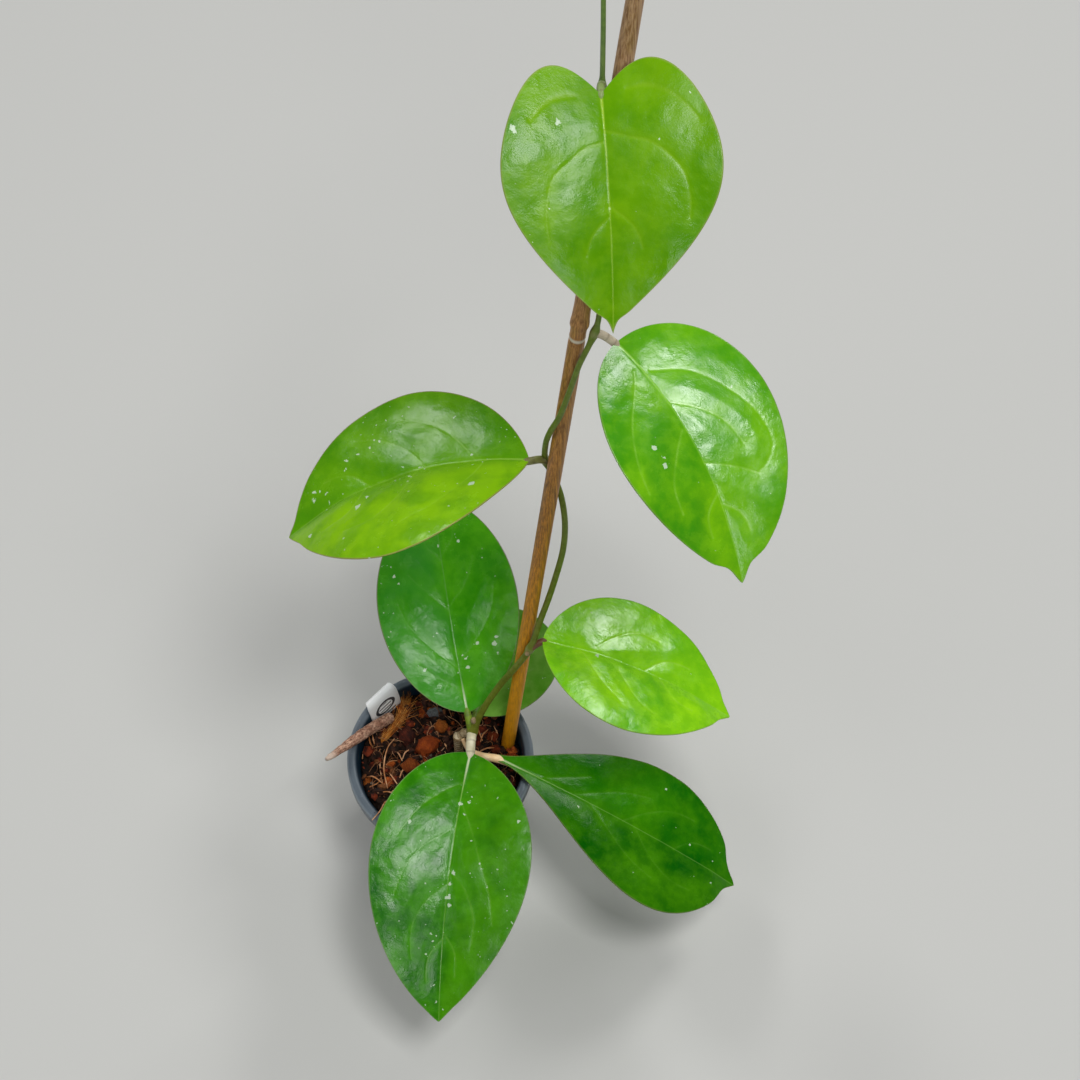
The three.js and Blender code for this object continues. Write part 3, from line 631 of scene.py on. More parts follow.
# ---------------------------------------------------------------------------------------------
# The plant label: a stiff strip of white polystyrene pushed down inside the rim, its top edge
# curled outwards by handling. Its print is a generic mark: a ring with bars, and one bar below.
LABEL_AZIMUTH = math.radians(136.1)
LABEL_THICK_MM = 0.8
LABEL_ROWS_MM = [(34.6, 38, 1.2), (35.6, 50, 5.4), (37.1, 66, 8.6), (37.9, 76, 9),
                 (39, 82, 9), (40.1, 85.6, 8.9), (41, 87, 8.5), (42, 87.4, 8),
                 (42.7, 86.8, 7.4)]  # radius, height, half-width
LABEL_STEPS = 96
MARK_ACROSS, MARK_ALONG = 0.5, 0.8  # the middle of the mark on the strip, each 0 to 1

label_white, tree, shader = new_material("label_polystyrene", roughness=0.35, coat=0.2)
off_side = maths(tree, "SUBTRACT", carried(tree, "across"), MARK_ACROSS)
off_end = maths(tree, "SUBTRACT", carried(tree, "along"), MARK_ALONG)
oval = maths(tree, "SQRT", maths(
    tree, "ADD", maths(tree, "POWER", maths(tree, "DIVIDE", off_side, 0.3), 2.0),
    maths(tree, "POWER", maths(tree, "DIVIDE", off_end, 0.075), 2.0)))
ring = maths(tree, "LESS_THAN", maths(tree, "ABSOLUTE", maths(tree, "SUBTRACT", oval, 1.0)), 0.16)
wave = maths(tree, "SINE", maths(tree, "MULTIPLY", off_end, 150.0))
bars = maths(tree, "MULTIPLY", maths(tree, "GREATER_THAN", wave, 0.55),
             maths(tree, "LESS_THAN", oval, 0.75))
below = maths(tree, "ABSOLUTE", maths(tree, "ADD", off_end, 0.12))
low_bar = maths(tree, "MULTIPLY", maths(tree, "LESS_THAN", below, 0.012),
                maths(tree, "LESS_THAN", maths(tree, "ABSOLUTE", off_side), 0.33))
inked = maths(tree, "MAXIMUM", maths(tree, "MAXIMUM", ring, bars), low_bar)
tones = mottled(tree, "f2f4f5", "fdfefe", scale=90.0, contrast=0.4, fine_scale=1500.0)
dress(tree, shader, blend(tree, inked, tones["Colour"], paint("34383e")), tones["Height"],
      0.1, 0.0001)

bm = bmesh.new()
along = bm.verts.layers.float.new("along")
across = bm.verts.layers.float.new("across")
bmesh.ops.create_grid(bm, x_segments=16, y_segments=LABEL_STEPS // 2, size=1.0)
rows = smooth_line(LABEL_ROWS_MM, LABEL_STEPS)
outward = Vector((math.cos(LABEL_AZIMUTH), math.sin(LABEL_AZIMUTH), 0))
sideways = Vector((-outward.y, outward.x, 0))
for v in bm.verts:
    u, s = (v.co.y + 1) / 2, v.co.x
    r, z, w = rows[round(u * LABEL_STEPS)]
    v[along], v[across] = u, (s + 1) / 2
    v.co = (outward * r + sideways * s * w + Vector((0, 0, z))) * MM
bmesh.ops.recalc_face_normals(bm, faces=bm.faces)
bmesh.ops.solidify(bm, geom=bm.faces[:], thickness=LABEL_THICK_MM * MM)
bmesh.ops.recalc_face_normals(bm, faces=bm.faces)
label = piece("plant_label_piece", bm, [label_white])
label.data.set_sharp_from_angle(angle=math.radians(40))
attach(label, "root")
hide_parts("plant_label")

# ---------------------------------------------------------------------------------------------
# The cane: whole bamboo, cut square at the top and whittled at the foot that is pushed into the
# mix. Its one joint is a pale ring with a swelling above. Its fine grain runs lengthwise, golden
# ochre low down and a greyed pinkish brown at the top.
CANE_AT = Vector((32.2, 10.6, 68))  # in mm, as all sizes of the cane are
CANE_ALONG = Vector((0.0918, 0.1134, 0.9893)).normalized()
CANE_FOOT, CANE_TOP, CANE_JOINT = -57, 540, 325
CANE_RADII = [(-57, 1.6), (-45, 3), (-38, 3.25), (322, 3.25), (324, 3.05), (325, 3.3),
              (326, 3.08), (330.6, 3.15), (332.4, 3.72), (334, 3.7), (337, 3.45), (344, 3.25),
              (480, 3.1), (539.4, 2.65), (540, 2.45)]  # how far along from CANE_AT, radius
CANE_STEPS = 420
BORE_DEEP, BORE_WALL, BORE_REACH = 9, 1.1, 1.9  # the hollow in the cut end


def between(table, at):
    """A value read off a table of (position, value), straight between its entries."""
    for (a, first), (b, second) in zip(table, table[1:]):
        if at <= b:
            return first + (second - first) * max(0.0, at - a) / (b - a)
    return table[-1][1]


def colour_run(tree, at, stops):
    """A colour read off a list of (position, colour) from 0 to 1."""
    made = put(tree, "ShaderNodeValToRGB", {0: at})
    elements = made.color_ramp.elements
    elements[0].color, elements[1].color = paint(stops[0][1]), paint(stops[-1][1])
    for position, colour in stops[1:-1]:
        elements.new(position).color = paint(colour)
    return made.outputs["Color"]


bamboo, tree, shader = new_material("bamboo", roughness=0.5, coat=0.1, specular=0.3)
place = put(tree, "ShaderNodeTexCoord").outputs["Object"]
grain = grouped(tree, streaks, Vector=place, Across=1500.0, Along=22.0)
fine_grain = grouped(tree, streaks, Vector=place, Across=5200.0, Along=60.0)
risen = carried(tree, "along")
skin_tone = colour_run(tree, risen, [(0.0, "e69a04"), (0.2, "ea9e08"), (0.42, "d68e20"),
                                     (0.6, "c48c44"), (0.8, "c0966a"), (1.0, "c4a080")])
weathering = ranged(tree, risen, 0.15, 0.42, 0.3, 0.85)
dark_streak = blend(tree, weathering, skin_tone, paint("66380e"))
colour = blend(tree, grain["Mask"], dark_streak, skin_tone)
lit_hair = ranged(tree, fine_grain["Height"], 0.45, 0.75, 0.0, 0.3)
colour = blend(tree, lit_hair, colour, paint("e0ac54"))
from_joint = maths(tree, "ABSOLUTE", maths(
    tree, "SUBTRACT", risen, (CANE_JOINT - CANE_FOOT) / (CANE_TOP - CANE_FOOT)))
colour = blend(tree, ranged(tree, from_joint, 0.0022, 0.0008), colour, paint("d8cdb8"))
dress(tree, shader, colour, fine_grain["Height"], 0.35, 0.0004)
cut_end, tree, shader = new_material("bamboo_cut_end", roughness=0.8)
tones = mottled(tree, "a9824f", "d2b07a", scale=700.0, contrast=0.6, fine_scale=2600.0)
tree.links.new(tones["Colour"], shader.inputs["Base Color"])

bm = bmesh.new()
line = [(CANE_AT + CANE_ALONG * (CANE_FOOT + (CANE_TOP - CANE_FOOT) * i / CANE_STEPS)) * MM
        for i in range(CANE_STEPS + 1)]
draw_rod(bm, line, lambda u: between(CANE_RADII, CANE_FOOT + (CANE_TOP - CANE_FOOT) * u) * MM, 36)
bmesh.ops.recalc_face_normals(bm, faces=bm.faces)
top = max((f for f in bm.faces if len(f.verts) > 4), key=lambda f: f.calc_center_median().z)
bmesh.ops.inset_region(bm, faces=[top], thickness=BORE_WALL * MM, depth=0)
sunk = bmesh.ops.extrude_face_region(bm, geom=[top])
bmesh.ops.translate(bm, vec=CANE_ALONG * -BORE_DEEP * MM,
                    verts=[g for g in sunk["geom"] if isinstance(g, bmesh.types.BMVert)])
bmesh.ops.delete(bm, geom=[top], context="FACES_ONLY")
for face in bm.faces:
    spot = (face.calc_center_median() / MM - CANE_AT).dot(CANE_ALONG)
    edge_out = (face.calc_center_median() / MM - CANE_AT - CANE_ALONG * spot).length
    if spot > CANE_TOP - BORE_DEEP - 0.2 and (spot > CANE_TOP - 0.1 or edge_out < BORE_REACH):
        face.material_index = 1
bmesh.ops.recalc_face_normals(bm, faces=bm.faces)
cane = piece("bamboo_cane", bm, [bamboo, cut_end])
cane.data.set_sharp_from_angle(angle=math.radians(50))
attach(cane, "root")
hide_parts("cane")

# ---------------------------------------------------------------------------------------------
# The stem: one woody vine that climbs from a corky stub in the mix, winds round the cane and
# thins to a soft tip with two unopened leaves. It swells at each leaf joint.
STEM_PATH_MM = [
    (15.4, 8, 91), (21.5, 13.5, 108), (29.3, 17.3, 127), (36.5, 15.2, 151.5), (43.5, 16.8, 170),
    (48.2, 21.3, 191), (51.5, 25, 204), (55, 27.5, 224), (57.8, 29.5, 245), (58.5, 31.5, 260),
    (58, 33.5, 272), (56.6, 37.4, 280), (54.2, 41, 287), (50.3, 42, 301.5), (50.2, 41, 316.5),
    (52, 38.4, 332), (55.8, 37.3, 347), (59.5, 38.8, 364), (62.9, 40.8, 380), (66.4, 43.8, 389),
    (68.4, 46.8, 393), (69.6, 47.6, 400.5), (70.3, 49.6, 412), (70.3, 55.8, 429),
    (69.4, 59.8, 448), (68.2, 62, 464), (67.2, 62.8, 480), (66.8, 62, 498), (67.6, 62.2, 511),
    (68.3, 63.2, 520), (68.3, 65.6, 540), (68, 68, 559), (67.4, 71, 581), (68.2, 73, 592),
]
STEM_STEPS = 700
STUB_MM = [(8.6, 7.2, 46), (8.5, 7.6, 68), (8.5, 9, 84.5)]
LINK_MM = [(8.6, 8.6, 81), (11.4, 9.4, 86.5), (15.4, 8, 91)]
LEAF_JOINTS_MM = [((15.4, 8, 91), 2.9, 4.5), ((43.5, 16.8, 170), 2.1, 3.4),
                  ((50.3, 42, 301.5), 1.95, 3.4), ((68.4, 46.8, 393), 1.9, 3.2),
                  ((68.3, 63.2, 520), 1.75, 3.2)]  # middle, swollen radius, reach
TIP_LEAVES_MM = [[(68, 72.6, 590), (66.4, 73.6, 595), (67.2, 74, 601)],
                 [(68, 72.6, 590), (69.6, 73.6, 595), (70, 74, 601)]]
BUDS_MM = [((16.5, 10.7, 99.2), 1.55, 1.4), ((42.2, 14.6, 169.4), 1.1, 1)]  # place, radius, stretch

vine_green, tree, shader = new_material("vine_green", roughness=0.5, coat=0.08, specular=0.3)
vine_tone = colour_run(tree, carried(tree, "along"), [
    (0.0, "68700e"), (0.06, "6a760a"), (0.3, "677c0a"), (0.6, "68822a"), (0.8, "6a8a48"),
    (1.0, "6c8e48")])
tones = mottled(tree, "4a4410", "8a943c", scale=420.0, contrast=0.7, fine_scale=2400.0)
weathered = blend(tree, 0.22, vine_tone, tones["Colour"])
brown_ring = ranged(tree, carried(tree, "joint"), 0.5, 0.95, 0.0, 0.55)
dress(tree, shader, blend(tree, brown_ring, weathered, paint("b0a284")), tones["Height"],
      0.5, 0.0003)

corky_bark, tree, shader = new_material("corky_bark", roughness=0.8, specular=0.3)
wave = maths(tree, "SINE", maths(tree, "MULTIPLY", carried(tree, "along"), 190.0))
tones = mottled(tree, "b49c74", "e8dab8", scale=380.0, contrast=0.7, fine_scale=2400.0)
ringed = blend(tree, ranged(tree, wave, -0.2, 0.9), paint("8c744c"), tones["Colour"])
dress(tree, shader, ringed, tones["Height"], 0.9, 0.0006)

stem_line = smooth_line([Vector(p) * MM for p in STEM_PATH_MM], STEM_STEPS)


def stem_radius(u):
    """The vine's taper with a swelling at each leaf joint."""
    plain, at = 1.6 - 0.8 * u, stem_line[round(u * STEM_STEPS)] / MM
    r = plain
    for middle, swollen_radius, swell_reach in LEAF_JOINTS_MM:
        near = math.exp(-((at - Vector(middle)).length / swell_reach) ** 2)
        r = max(r, plain + (swollen_radius - plain) * near)
    return r * MM


def tip_leaf_radius(u):
    """An unopened leaf is a spindle."""
    return 0.35 * MM + 0.6 * MM * math.sin(math.pi * min(1, u * 0.9 + 0.1)) ** 0.7


def stub_radius(u):
    """The old stem, ringed like cork, that flares and then rounds off at its cut top."""
    return (2.2 + 0.12 * math.sin(u * 75) + 0.35 * max(0, u - 0.9) * 10
            - 0.5 * max(0, u - 0.985) * 60) * MM


bm = bmesh.new()
draw_rod(bm, stem_line, stem_radius, 20)
joint = bm.verts.layers.float.new("joint")
for v in bm.verts:
    v[joint] = max(math.exp(-((v.co / MM - Vector(middle)).length / reach) ** 2)
                   for middle, _, reach in LEAF_JOINTS_MM)
for tip in TIP_LEAVES_MM:
    draw_rod(bm, smooth_line([Vector(p) * MM for p in tip], 24), tip_leaf_radius, 14)
green_faces = len(bm.faces)
draw_rod(bm, smooth_line([Vector(p) * MM for p in STUB_MM], 120), stub_radius, 24)
draw_rod(bm, smooth_line([Vector(p) * MM for p in LINK_MM], 60),
         lambda u: (2.1 + 0.2 * math.sin(u * 26)) * MM, 24)
for at, bud_radius, tall in BUDS_MM:
    bmesh.ops.create_uvsphere(bm, u_segments=20, v_segments=12, radius=bud_radius * MM,
                              matrix=Matrix.Translation(Vector(at) * MM)
                              @ Matrix.Diagonal((1, 1, tall, 1)))
bm.faces.ensure_lookup_table()
for face in bm.faces[green_faces:]:
    face.material_index = 1
bmesh.ops.recalc_face_normals(bm, faces=bm.faces)
vine = piece("vine_stem", bm, [vine_green, corky_bark])
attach(vine, "root")
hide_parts("stem")

# ---------------------------------------------------------------------------------------------
# The eight leaves: thick waxy blades on short round stalks, two at most joints of the vine. The
# young ones are yellow-green and the old ones dark. Each is folded along its midrib, bends down
# towards its tip, puffs up between its veins and has a thin pale margin and pale flecks.
BLADE_MM, BLADE_EDGE_MM = 1.0, 0.55
LONG, WIDE = 220, 110  # the stations along a blade and across it
SPINE_STEPS, STALK_STEPS, VEIN_STEPS = 400, 160, 90
VEIN_SINK_MM, RIB_SINK_MM, RIB_END_MM = 0.1, 0.2, 0.22
RIPPLES = [(0.6, 0.055, 3.0), (0.1, 0.21, 7.0), (0.03, 0.55, 9.0)]  # height, scale, seed
# Lengths are in mm and angles in degrees. base is where the blade starts, and yaw, pitch and
# roll are the way it points. halves, forms and lobes are those of the left and the right half.
# A vein is (along, across) points on the blade, and a spot is one such point and a radius.
LEAVES = {
    "leaf_1_top": dict(
        base=(67.6, 50.5, 533.5), yaw=276, pitch=-19.5, droop=-24.5, roll=0, sweep=-4, length=76,
        halves=(37, 34.5), forms=((0.58, 1.17), (0.53, 1.06)), lobes=(42, 39), lobe_fade=8.5,
        fold=9.5, camber=0.05, stalk=[(68.3, 63.2, 520), (68.1, 59.5, 526.5), (67.7, 54.5, 532)],
        stalk_radii=(1.5, 1.4), tip=1.5, drip=0.4, puff=0.5, young=True,
        deep="468600", light="6ca202", other="5e9800", other_amount=0.3, vein="a8c83c",
        margin="8f9a50", vein_show=0.12, mottle=0.6, rib_glow=0.4, gloss=0.24, rib_show=0.6,
        cream_rib=0.0, flecks=0.1, stalk_colour="7c9450", stalk_light="8a9a5c",
        spots=[(.2, -.92, .9), (.16, -.5, .7)],
        veins=[[(.07, -.4), (.12, -.68), (.17, -.78)],
               [(.06, .4), (.09, .62), (.15, .8), (.21, .88)],
               [(.21, -.02), (.24, -.2), (.29, -.35), (.36, -.52), (.44, -.6), (.61, -.75)],
               [(.16, 0), (.21, .23), (.25, .43), (.36, .65), (.54, .8)],
               [(.48, 0), (.57, .25), (.66, .4)], [(.52, 0), (.6, -.22), (.68, -.36)]]),
    "leaf_2_upper_right": dict(
        base=(76.5, 45.2, 388.4), yaw=-44, pitch=-8.5, droop=-33.5, roll=-4.5, sweep=-26,
        length=101, halves=(35.5, 33), forms=((0.55, 0.78), (0.55, 0.76)), fold=12, camber=0.05,
        stalk=[(68.4, 46.8, 393), (71.5, 46.6, 391.6)], stalk_radii=(1.7, 1.6), tip=3.2,
        drip=0.38, puff=0.9, young=True, deep="3a9000", light="74b800", other="62ae00",
        other_amount=0.3, vein="a6d860", margin="78a03c", vein_show=0.3, mottle=0.55,
        rib_glow=0.3, gloss=0.8, rib_show=0.55, cream_rib=0.0, flecks=0.25,
        stalk_colour="b4a48c", stalk_light="d0c4aa",
        spots=[(.42, -.5, 1.1), (.5, -.5, 1)],
        veins=[[(.16, .07), (.25, .43), (.39, .65), (.5, .78), (.59, .83), (.64, .75), (.67, .58)],
               [(.56, 0), (.61, .28), (.67, .58)],
               [(.13, -.15), (.31, -.62), (.46, -.8), (.57, -.88)],
               [(.41, -.05), (.49, -.3), (.6, -.55), (.7, -.65)],
               [(.3, .02), (.38, .25), (.47, .42), (.56, .5)],
               [(.72, 0), (.78, .25), (.85, .4)], [(.68, 0), (.75, -.3), (.83, -.42)]]),
    # Leaf 3's other half, the lower one in view, is painted lighter yellow-green as painted light.
    "leaf_3_left": dict(
        base=(43.7, 38, 309.5), yaw=173, pitch=-4.5, droop=-39, roll=14, sweep=22.5, length=109.5,
        halves=(45.5, 39.5), forms=((0.72, 0.79), (0.84, 0.99)), fold=13.5, camber=0.12,
        stalk=[(50.3, 42, 301.5), (47.5, 39.8, 306.5)], stalk_radii=(1.7, 1.6), tip=1.5,
        drip=0.12, puff=0.8, young=True, deep="488e00", light="66a600", other="90c800",
        other_amount=0.75, vein="a2cc50", margin="a08a58", vein_show=0.2, mottle=0.6,
        rib_glow=0.1, gloss=0.5, rib_show=0.45, cream_rib=0.0, flecks=0.55,
        stalk_colour="6a6634", stalk_light="8c9250",
        spots=[(.67, .25, 1.2), (.63, .15, .8), (.2, .45, 1.2), (.85, -.55, .8), (.86, -.4, .7),
               (.9, .5, .9)],
        veins=[[(.39, 0), (.46, -.27), (.54, -.47), (.65, -.7)],
               [(.16, 0), (.23, .35), (.36, .58), (.48, .65)],
               [(.2, 0), (.27, -.3), (.36, -.52), (.47, -.66)],
               [(.42, 0), (.5, .3), (.62, .5), (.74, .56)],
               [(.62, 0), (.7, -.3), (.8, -.5)], [(.64, 0), (.72, .28), (.82, .42)]]),
    "leaf_4_right": dict(
        base=(49.2, 18.5, 175.6), yaw=-9, pitch=-8.5, droop=-27, roll=-13, sweep=-5.5, length=94,
        halves=(34, 36.5), forms=((0.62, 0.82), (0.62, 0.84)), fold=8.5, camber=0.08,
        stalk=[(43.5, 16.8, 170), (46.2, 17.2, 173.6)], stalk_radii=(1.7, 1.6), tip=2.2,
        drip=0.16, puff=1.0, young=True, deep="56b000", light="9ae200", other="8cd800",
        other_amount=0.4, vein="b4dc60", margin="88a840", vein_show=0.2, mottle=0.5,
        rib_glow=0.3, gloss=0.9, rib_show=0.2, cream_rib=0.0, flecks=0.15,
        stalk_colour="5e3c22", stalk_light="80542c",
        spots=[(.27, -.03, .9)],
        veins=[[(.26, .1), (.34, .33), (.46, .53), (.56, .55)],
               [(.39, -.15), (.51, -.52), (.6, -.65)],
               [(.2, -.05), (.3, -.4), (.42, -.62)], [(.52, .02), (.62, .3), (.74, .44)],
               [(.6, 0), (.7, -.3), (.8, -.42)]]),
    # Leaf 5's other half, the left one in view, is tinted bluish as a painted sheen.
    "leaf_5_rear": dict(
        base=(13.3, 15.3, 98.8), yaw=102, pitch=26, droop=-22, roll=-1, sweep=-4, length=106,
        halves=(34, 33.5), forms=((0.63, 0.65), (0.58, 0.59)), fold=7, camber=0.05,
        stalk=[(15.4, 8, 91), (14.4, 11.4, 95.6)], stalk_radii=(2.1, 1.7), tip=0.8, drip=0,
        puff=0.8, young=False, deep="2a8600", light="52a808", other="368e2a", other_amount=0.5,
        vein="6aa050", margin="8a7a60", vein_show=0.15, mottle=0.55, rib_glow=0.15, gloss=0.45,
        rib_show=0.85, cream_rib=0.7, flecks=0.45, stalk_colour="5c7a10", stalk_light="7c981c",
        spots=[(.83, .35, .8), (.65, .75, .8), (.3, -.35, .8), (.28, -.62, 1.1), (.31, -.65, .8),
               (.2, -.15, .9), (.78, -.35, .7), (.22, .6, .8)],
        veins=[[(.46, 0), (.55, .25), (.65, .53)], [(.2, .02), (.3, .35), (.42, .6), (.52, .7)],
               [(.22, 0), (.31, -.33), (.43, -.58), (.54, -.68)],
               [(.48, 0), (.58, -.3), (.7, -.5)], [(.7, 0), (.78, .25), (.86, .36)],
               [(.1, .05), (.16, .4), (.24, .66)], [(.72, 0), (.8, -.25), (.87, -.36)]]),
    "leaf_6_rear_low": dict(
        base=(16.6, 20.2, 85), yaw=64, pitch=12, droop=-14, roll=0, sweep=5, length=57,
        halves=(24, 28), forms=((0.57, 0.55), (0.57, 0.48)), fold=5, camber=0.05,
        stalk=[(15.4, 8, 91), (15.8, 12.6, 86.8), (16.2, 17, 85)], stalk_radii=(1.6, 1.5),
        tip=0.8, drip=0, puff=0.4, young=False, deep="50961a", light="80b44a", other="649a28",
        other_amount=0.4, vein="8cae68", margin="7c8a58", vein_show=0.2, mottle=0.5,
        rib_glow=0.1, gloss=0.25, rib_show=0.5, cream_rib=0.3, flecks=0.2,
        stalk_colour="62803a", stalk_light="7c981c",
        spots=[(.5, .3, .6)],
        veins=[[(.3, 0), (.42, .35), (.55, .6)], [(.28, 0), (.4, -.35), (.54, -.6)],
               [(.56, 0), (.68, .3), (.78, .45)], [(.58, 0), (.7, -.3), (.8, -.45)]]),
    "leaf_7_front": dict(
        base=(14.9, -3.5, 93.3), yaw=258.5, pitch=1.5, droop=-35, roll=-2.5, sweep=11.5,
        length=127, halves=(37.5, 38), forms=((0.62, 0.89), (0.6, 0.82)), fold=9, camber=0.06,
        stalk=[(15.4, 8, 91), (15, 2, 93.2)], stalk_radii=(2.4, 2.2), tip=1.5, drip=0, puff=0.9,
        young=False, deep="045e00", light="429400", other="5aa200", other_amount=0.4,
        vein="8cba50", margin="7c9a58", vein_show=0.22, mottle=0.6, rib_glow=0.3, gloss=0.42,
        rib_show=0.75, cream_rib=0.9, flecks=0.5, stalk_colour="ccc4a0", stalk_light="eae4c8",
        spots=[(.2, .01, .9), (.24, .08, .7), (.46, .05, 1), (.5, .03, 1), (.55, .02, 1.2),
               (.58, .05, .8), (.3, -.6, .8), (.24, .85, .7)],
        veins=[[(.29, 0), (.33, -.17), (.39, -.4), (.46, -.55), (.56, -.68)],
               [(.2, .03), (.29, .2), (.4, .35), (.53, .55), (.64, .7)],
               [(.12, -.02), (.17, -.3), (.25, -.55), (.35, -.7)],
               [(.45, 0), (.53, .25), (.63, .42), (.74, .5)],
               [(.5, 0), (.58, -.28), (.68, -.48), (.78, -.56)],
               [(.68, 0), (.76, .25), (.84, .36)], [(.7, 0), (.78, -.25), (.86, -.36)]]),
    "leaf_8_low_right": dict(
        base=(28, -3.2, 86.3), yaw=-25, pitch=-5, droop=-33.5, roll=-9, sweep=11.5, length=134.5,
        halves=(35, 35.5), forms=((1.15, 0.72), (1.81, 0.95)), fold=5, camber=0.05, neck=1.9,
        stalk=[(10.6, 8.4, 83.5), (14.5, 1, 85), (20, -2.2, 86.2)], stalk_radii=(1.2, 2.1),
        tip=2.0, drip=0.4, puff=0.6, young=False, deep="005a00", light="448a00", other="107a00",
        other_amount=0.3, vein="7cae4c", margin="6c7c3c", vein_show=0.12, mottle=0.5,
        rib_glow=0.5, gloss=0.15, rib_show=0.8, cream_rib=0.5, flecks=0.22,
        stalk_colour="f0c48c", stalk_light="ffe2b4", ring_show=0,
        spots=[(.62, .75, .6), (.33, -.25, .4), (.78, .2, .5), (.9, -.35, .6)],
        veins=[[(.3, .02), (.38, .25), (.47, .42), (.57, .5)],
               [(.36, 0), (.45, -.28), (.55, -.48), (.66, -.58)],
               [(.5, 0), (.58, .28), (.68, .5), (.77, .6)],
               [(.55, 0), (.63, -.28), (.73, -.48), (.82, -.56)],
               [(.72, 0), (.79, .26), (.87, .4)], [(.16, .02), (.24, .3), (.33, .5)]]),
}

# What a blade's skin looks like, from how far a point lies from the midrib, the side veins, the
# spots and the margin (in mm, on the mesh) and which half of the blade it is on.
skin, given, wanted = new_group(
    "waxy leaf skin",
    {"Deep": (COLOUR, (0.05, 0.2, 0.01, 1)), "Light": (COLOUR, (0.1, 0.4, 0.02, 1)),
     "Other half": (COLOUR, (0.1, 0.4, 0.02, 1)), "Other amount": (FLOAT, 0.3),
     "Vein": (COLOUR, (0.4, 0.6, 0.2, 1)), "Margin": (COLOUR, (0.4, 0.4, 0.2, 1)),
     "Vein show": (FLOAT, 0.3), "Flecks": (FLOAT, 0.3), "Mottle": (FLOAT, 0.5),
     "Rib glow": (FLOAT, 0.3), "Rib show": (FLOAT, 0.5), "Cream rib": (FLOAT, 0.0),
     "Seed": (FLOAT, 0.0)},
    {"Colour": COLOUR, "Roughness": FLOAT, "Height": FLOAT})
rib_mm, vein_mm, edge_mm, spot_mm, along, across = (
    carried(skin, name) for name in ("rib_mm", "vein_mm", "edge_mm", "spot_mm", "along", "across"))
place = put(skin, "ShaderNodeTexCoord").outputs["Object"]
own_shift = put(skin, "ShaderNodeCombineXYZ", {0: given["Seed"]}).outputs[0]
shifted = put(skin, "ShaderNodeVectorMath", {0: place, 1: own_shift}, operation="ADD").outputs[0]
FADE_BASE = 2.718


def eased(value, low, high, start=0.0, end=1.0):
    """As ranged does, but eased in and out, on the skin of a leaf."""
    return ranged(skin, value, low, high, start, end, curve="SMOOTHSTEP")


def fades(value, rate):
    """From 1 at nothing towards 0 as the value grows."""
    return maths(skin, "POWER", FADE_BASE, maths(skin, "MULTIPLY", value, -rate))


def product(first, second):
    """One value of the skin times another."""
    return maths(skin, "MULTIPLY", first, second)


broad_patch = eased(speckle(skin, shifted, 38.0, 3.0), 0.36, 0.64)
fine_patch = eased(speckle(skin, shifted, 190.0, 5.0, 0.6), 0.38, 0.66)
patches = maths(skin, "MULTIPLY_ADD", fine_patch, 0.3, product(broad_patch, 0.5))
patches = product(maths(skin, "MULTIPLY_ADD", fades(vein_mm, 0.3), 0.4, patches),
                  product(given["Mottle"], 2.0))
flesh = blend(skin, put(skin, "ShaderNodeClamp", {0: patches}).outputs[0], given["Deep"],
              given["Light"])
# One half of the blade takes the Other half colour. On leaf 3 this is painted light: its lower half
# is painted lighter yellow-green, as if facing the light. On leaf 5 it is a painted bluish sheen on
# its left half. On the other leaves it tints one half.
half = product(eased(across, -0.1, 0.25), given["Other amount"])
half = product(half, eased(speckle(skin, shifted, 75.0, 4.0), 0.36, 0.6, 0.45, 1.0))
flesh = blend(skin, half, flesh, given["Other half"])
# The flesh is paler and yellower beside the midrib, towards the stalk.
glow = product(fades(rib_mm, 0.11), product(eased(along, 0.85, 0.05), given["Rib glow"]))
flesh = blend(skin, glow, flesh, given["Light"])
vein_line = product(eased(vein_mm, 0.7, 0.1),
                    eased(speckle(skin, shifted, 120.0, 2.0), 0.3, 0.6, 0.3, 1.0))
flesh = blend(skin, product(vein_line, given["Vein show"]), flesh, given["Vein"])
rib_share = maths(skin, "DIVIDE", rib_mm, eased(along, 0.0, 0.22, 1.0, 0.42))
rib_line = product(eased(rib_share, 0.8, 0.2),
                   product(eased(along, 0.02, 0.5, 1.0, 0.45), given["Rib show"]))
green_again = product(eased(along, 0.03, 0.17), given["Cream rib"])
cream = maths(skin, "SUBTRACT", given["Cream rib"], green_again)
flesh = blend(skin, rib_line, flesh, blend(skin, cream, given["Vein"], paint("e6ecc8")))
flesh = blend(skin, eased(edge_mm, 0.8, 0.1, 0.0, 0.6), flesh, given["Margin"])
fleck_field = maths(skin, "MULTIPLY_ADD", speckle(skin, shifted, 70.0, 1.0), 0.35,
                    speckle(skin, shifted, 480.0, 2.0))
fleck = maths(skin, "GREATER_THAN", fleck_field, eased(given["Flecks"], 0.0, 1.0, 0.98, 0.865))
blot = maths(skin, "GREATER_THAN", speckle(skin, shifted, 165.0, 6.0, 0.62),
             eased(given["Flecks"], 0.0, 1.0, 0.79, 0.69))
ragged = maths(skin, "MULTIPLY_ADD", speckle(skin, shifted, 700.0, 3.0, 0.6), 3.4, spot_mm)
spot = maths(skin, "LESS_THAN", ragged, 1.7)
fleck = maths(skin, "MAXIMUM", maths(skin, "MAXIMUM", fleck, blot), spot)
flesh = blend(skin, product(fleck, 0.85), flesh, paint("c9dcc0"))
skin.links.new(flesh, wanted["Colour"])
wax = maths(skin, "MULTIPLY_ADD", fine_patch, 0.05,
            eased(speckle(skin, shifted, 70.0, 4.0), 0.3, 0.7, 0.15, 0.27))
skin.links.new(wax, wanted["Roughness"])
pores = maths(skin, "MULTIPLY_ADD", speckle(skin, shifted, 1800.0, 2.0), 0.25,
              speckle(skin, shifted, 420.0, 4.0, 0.6))
sunk_vein = product(eased(vein_mm, 0.8, 0.1), 0.25)
skin.links.new(maths(skin, "SUBTRACT", pores, sunk_vein), wanted["Height"])


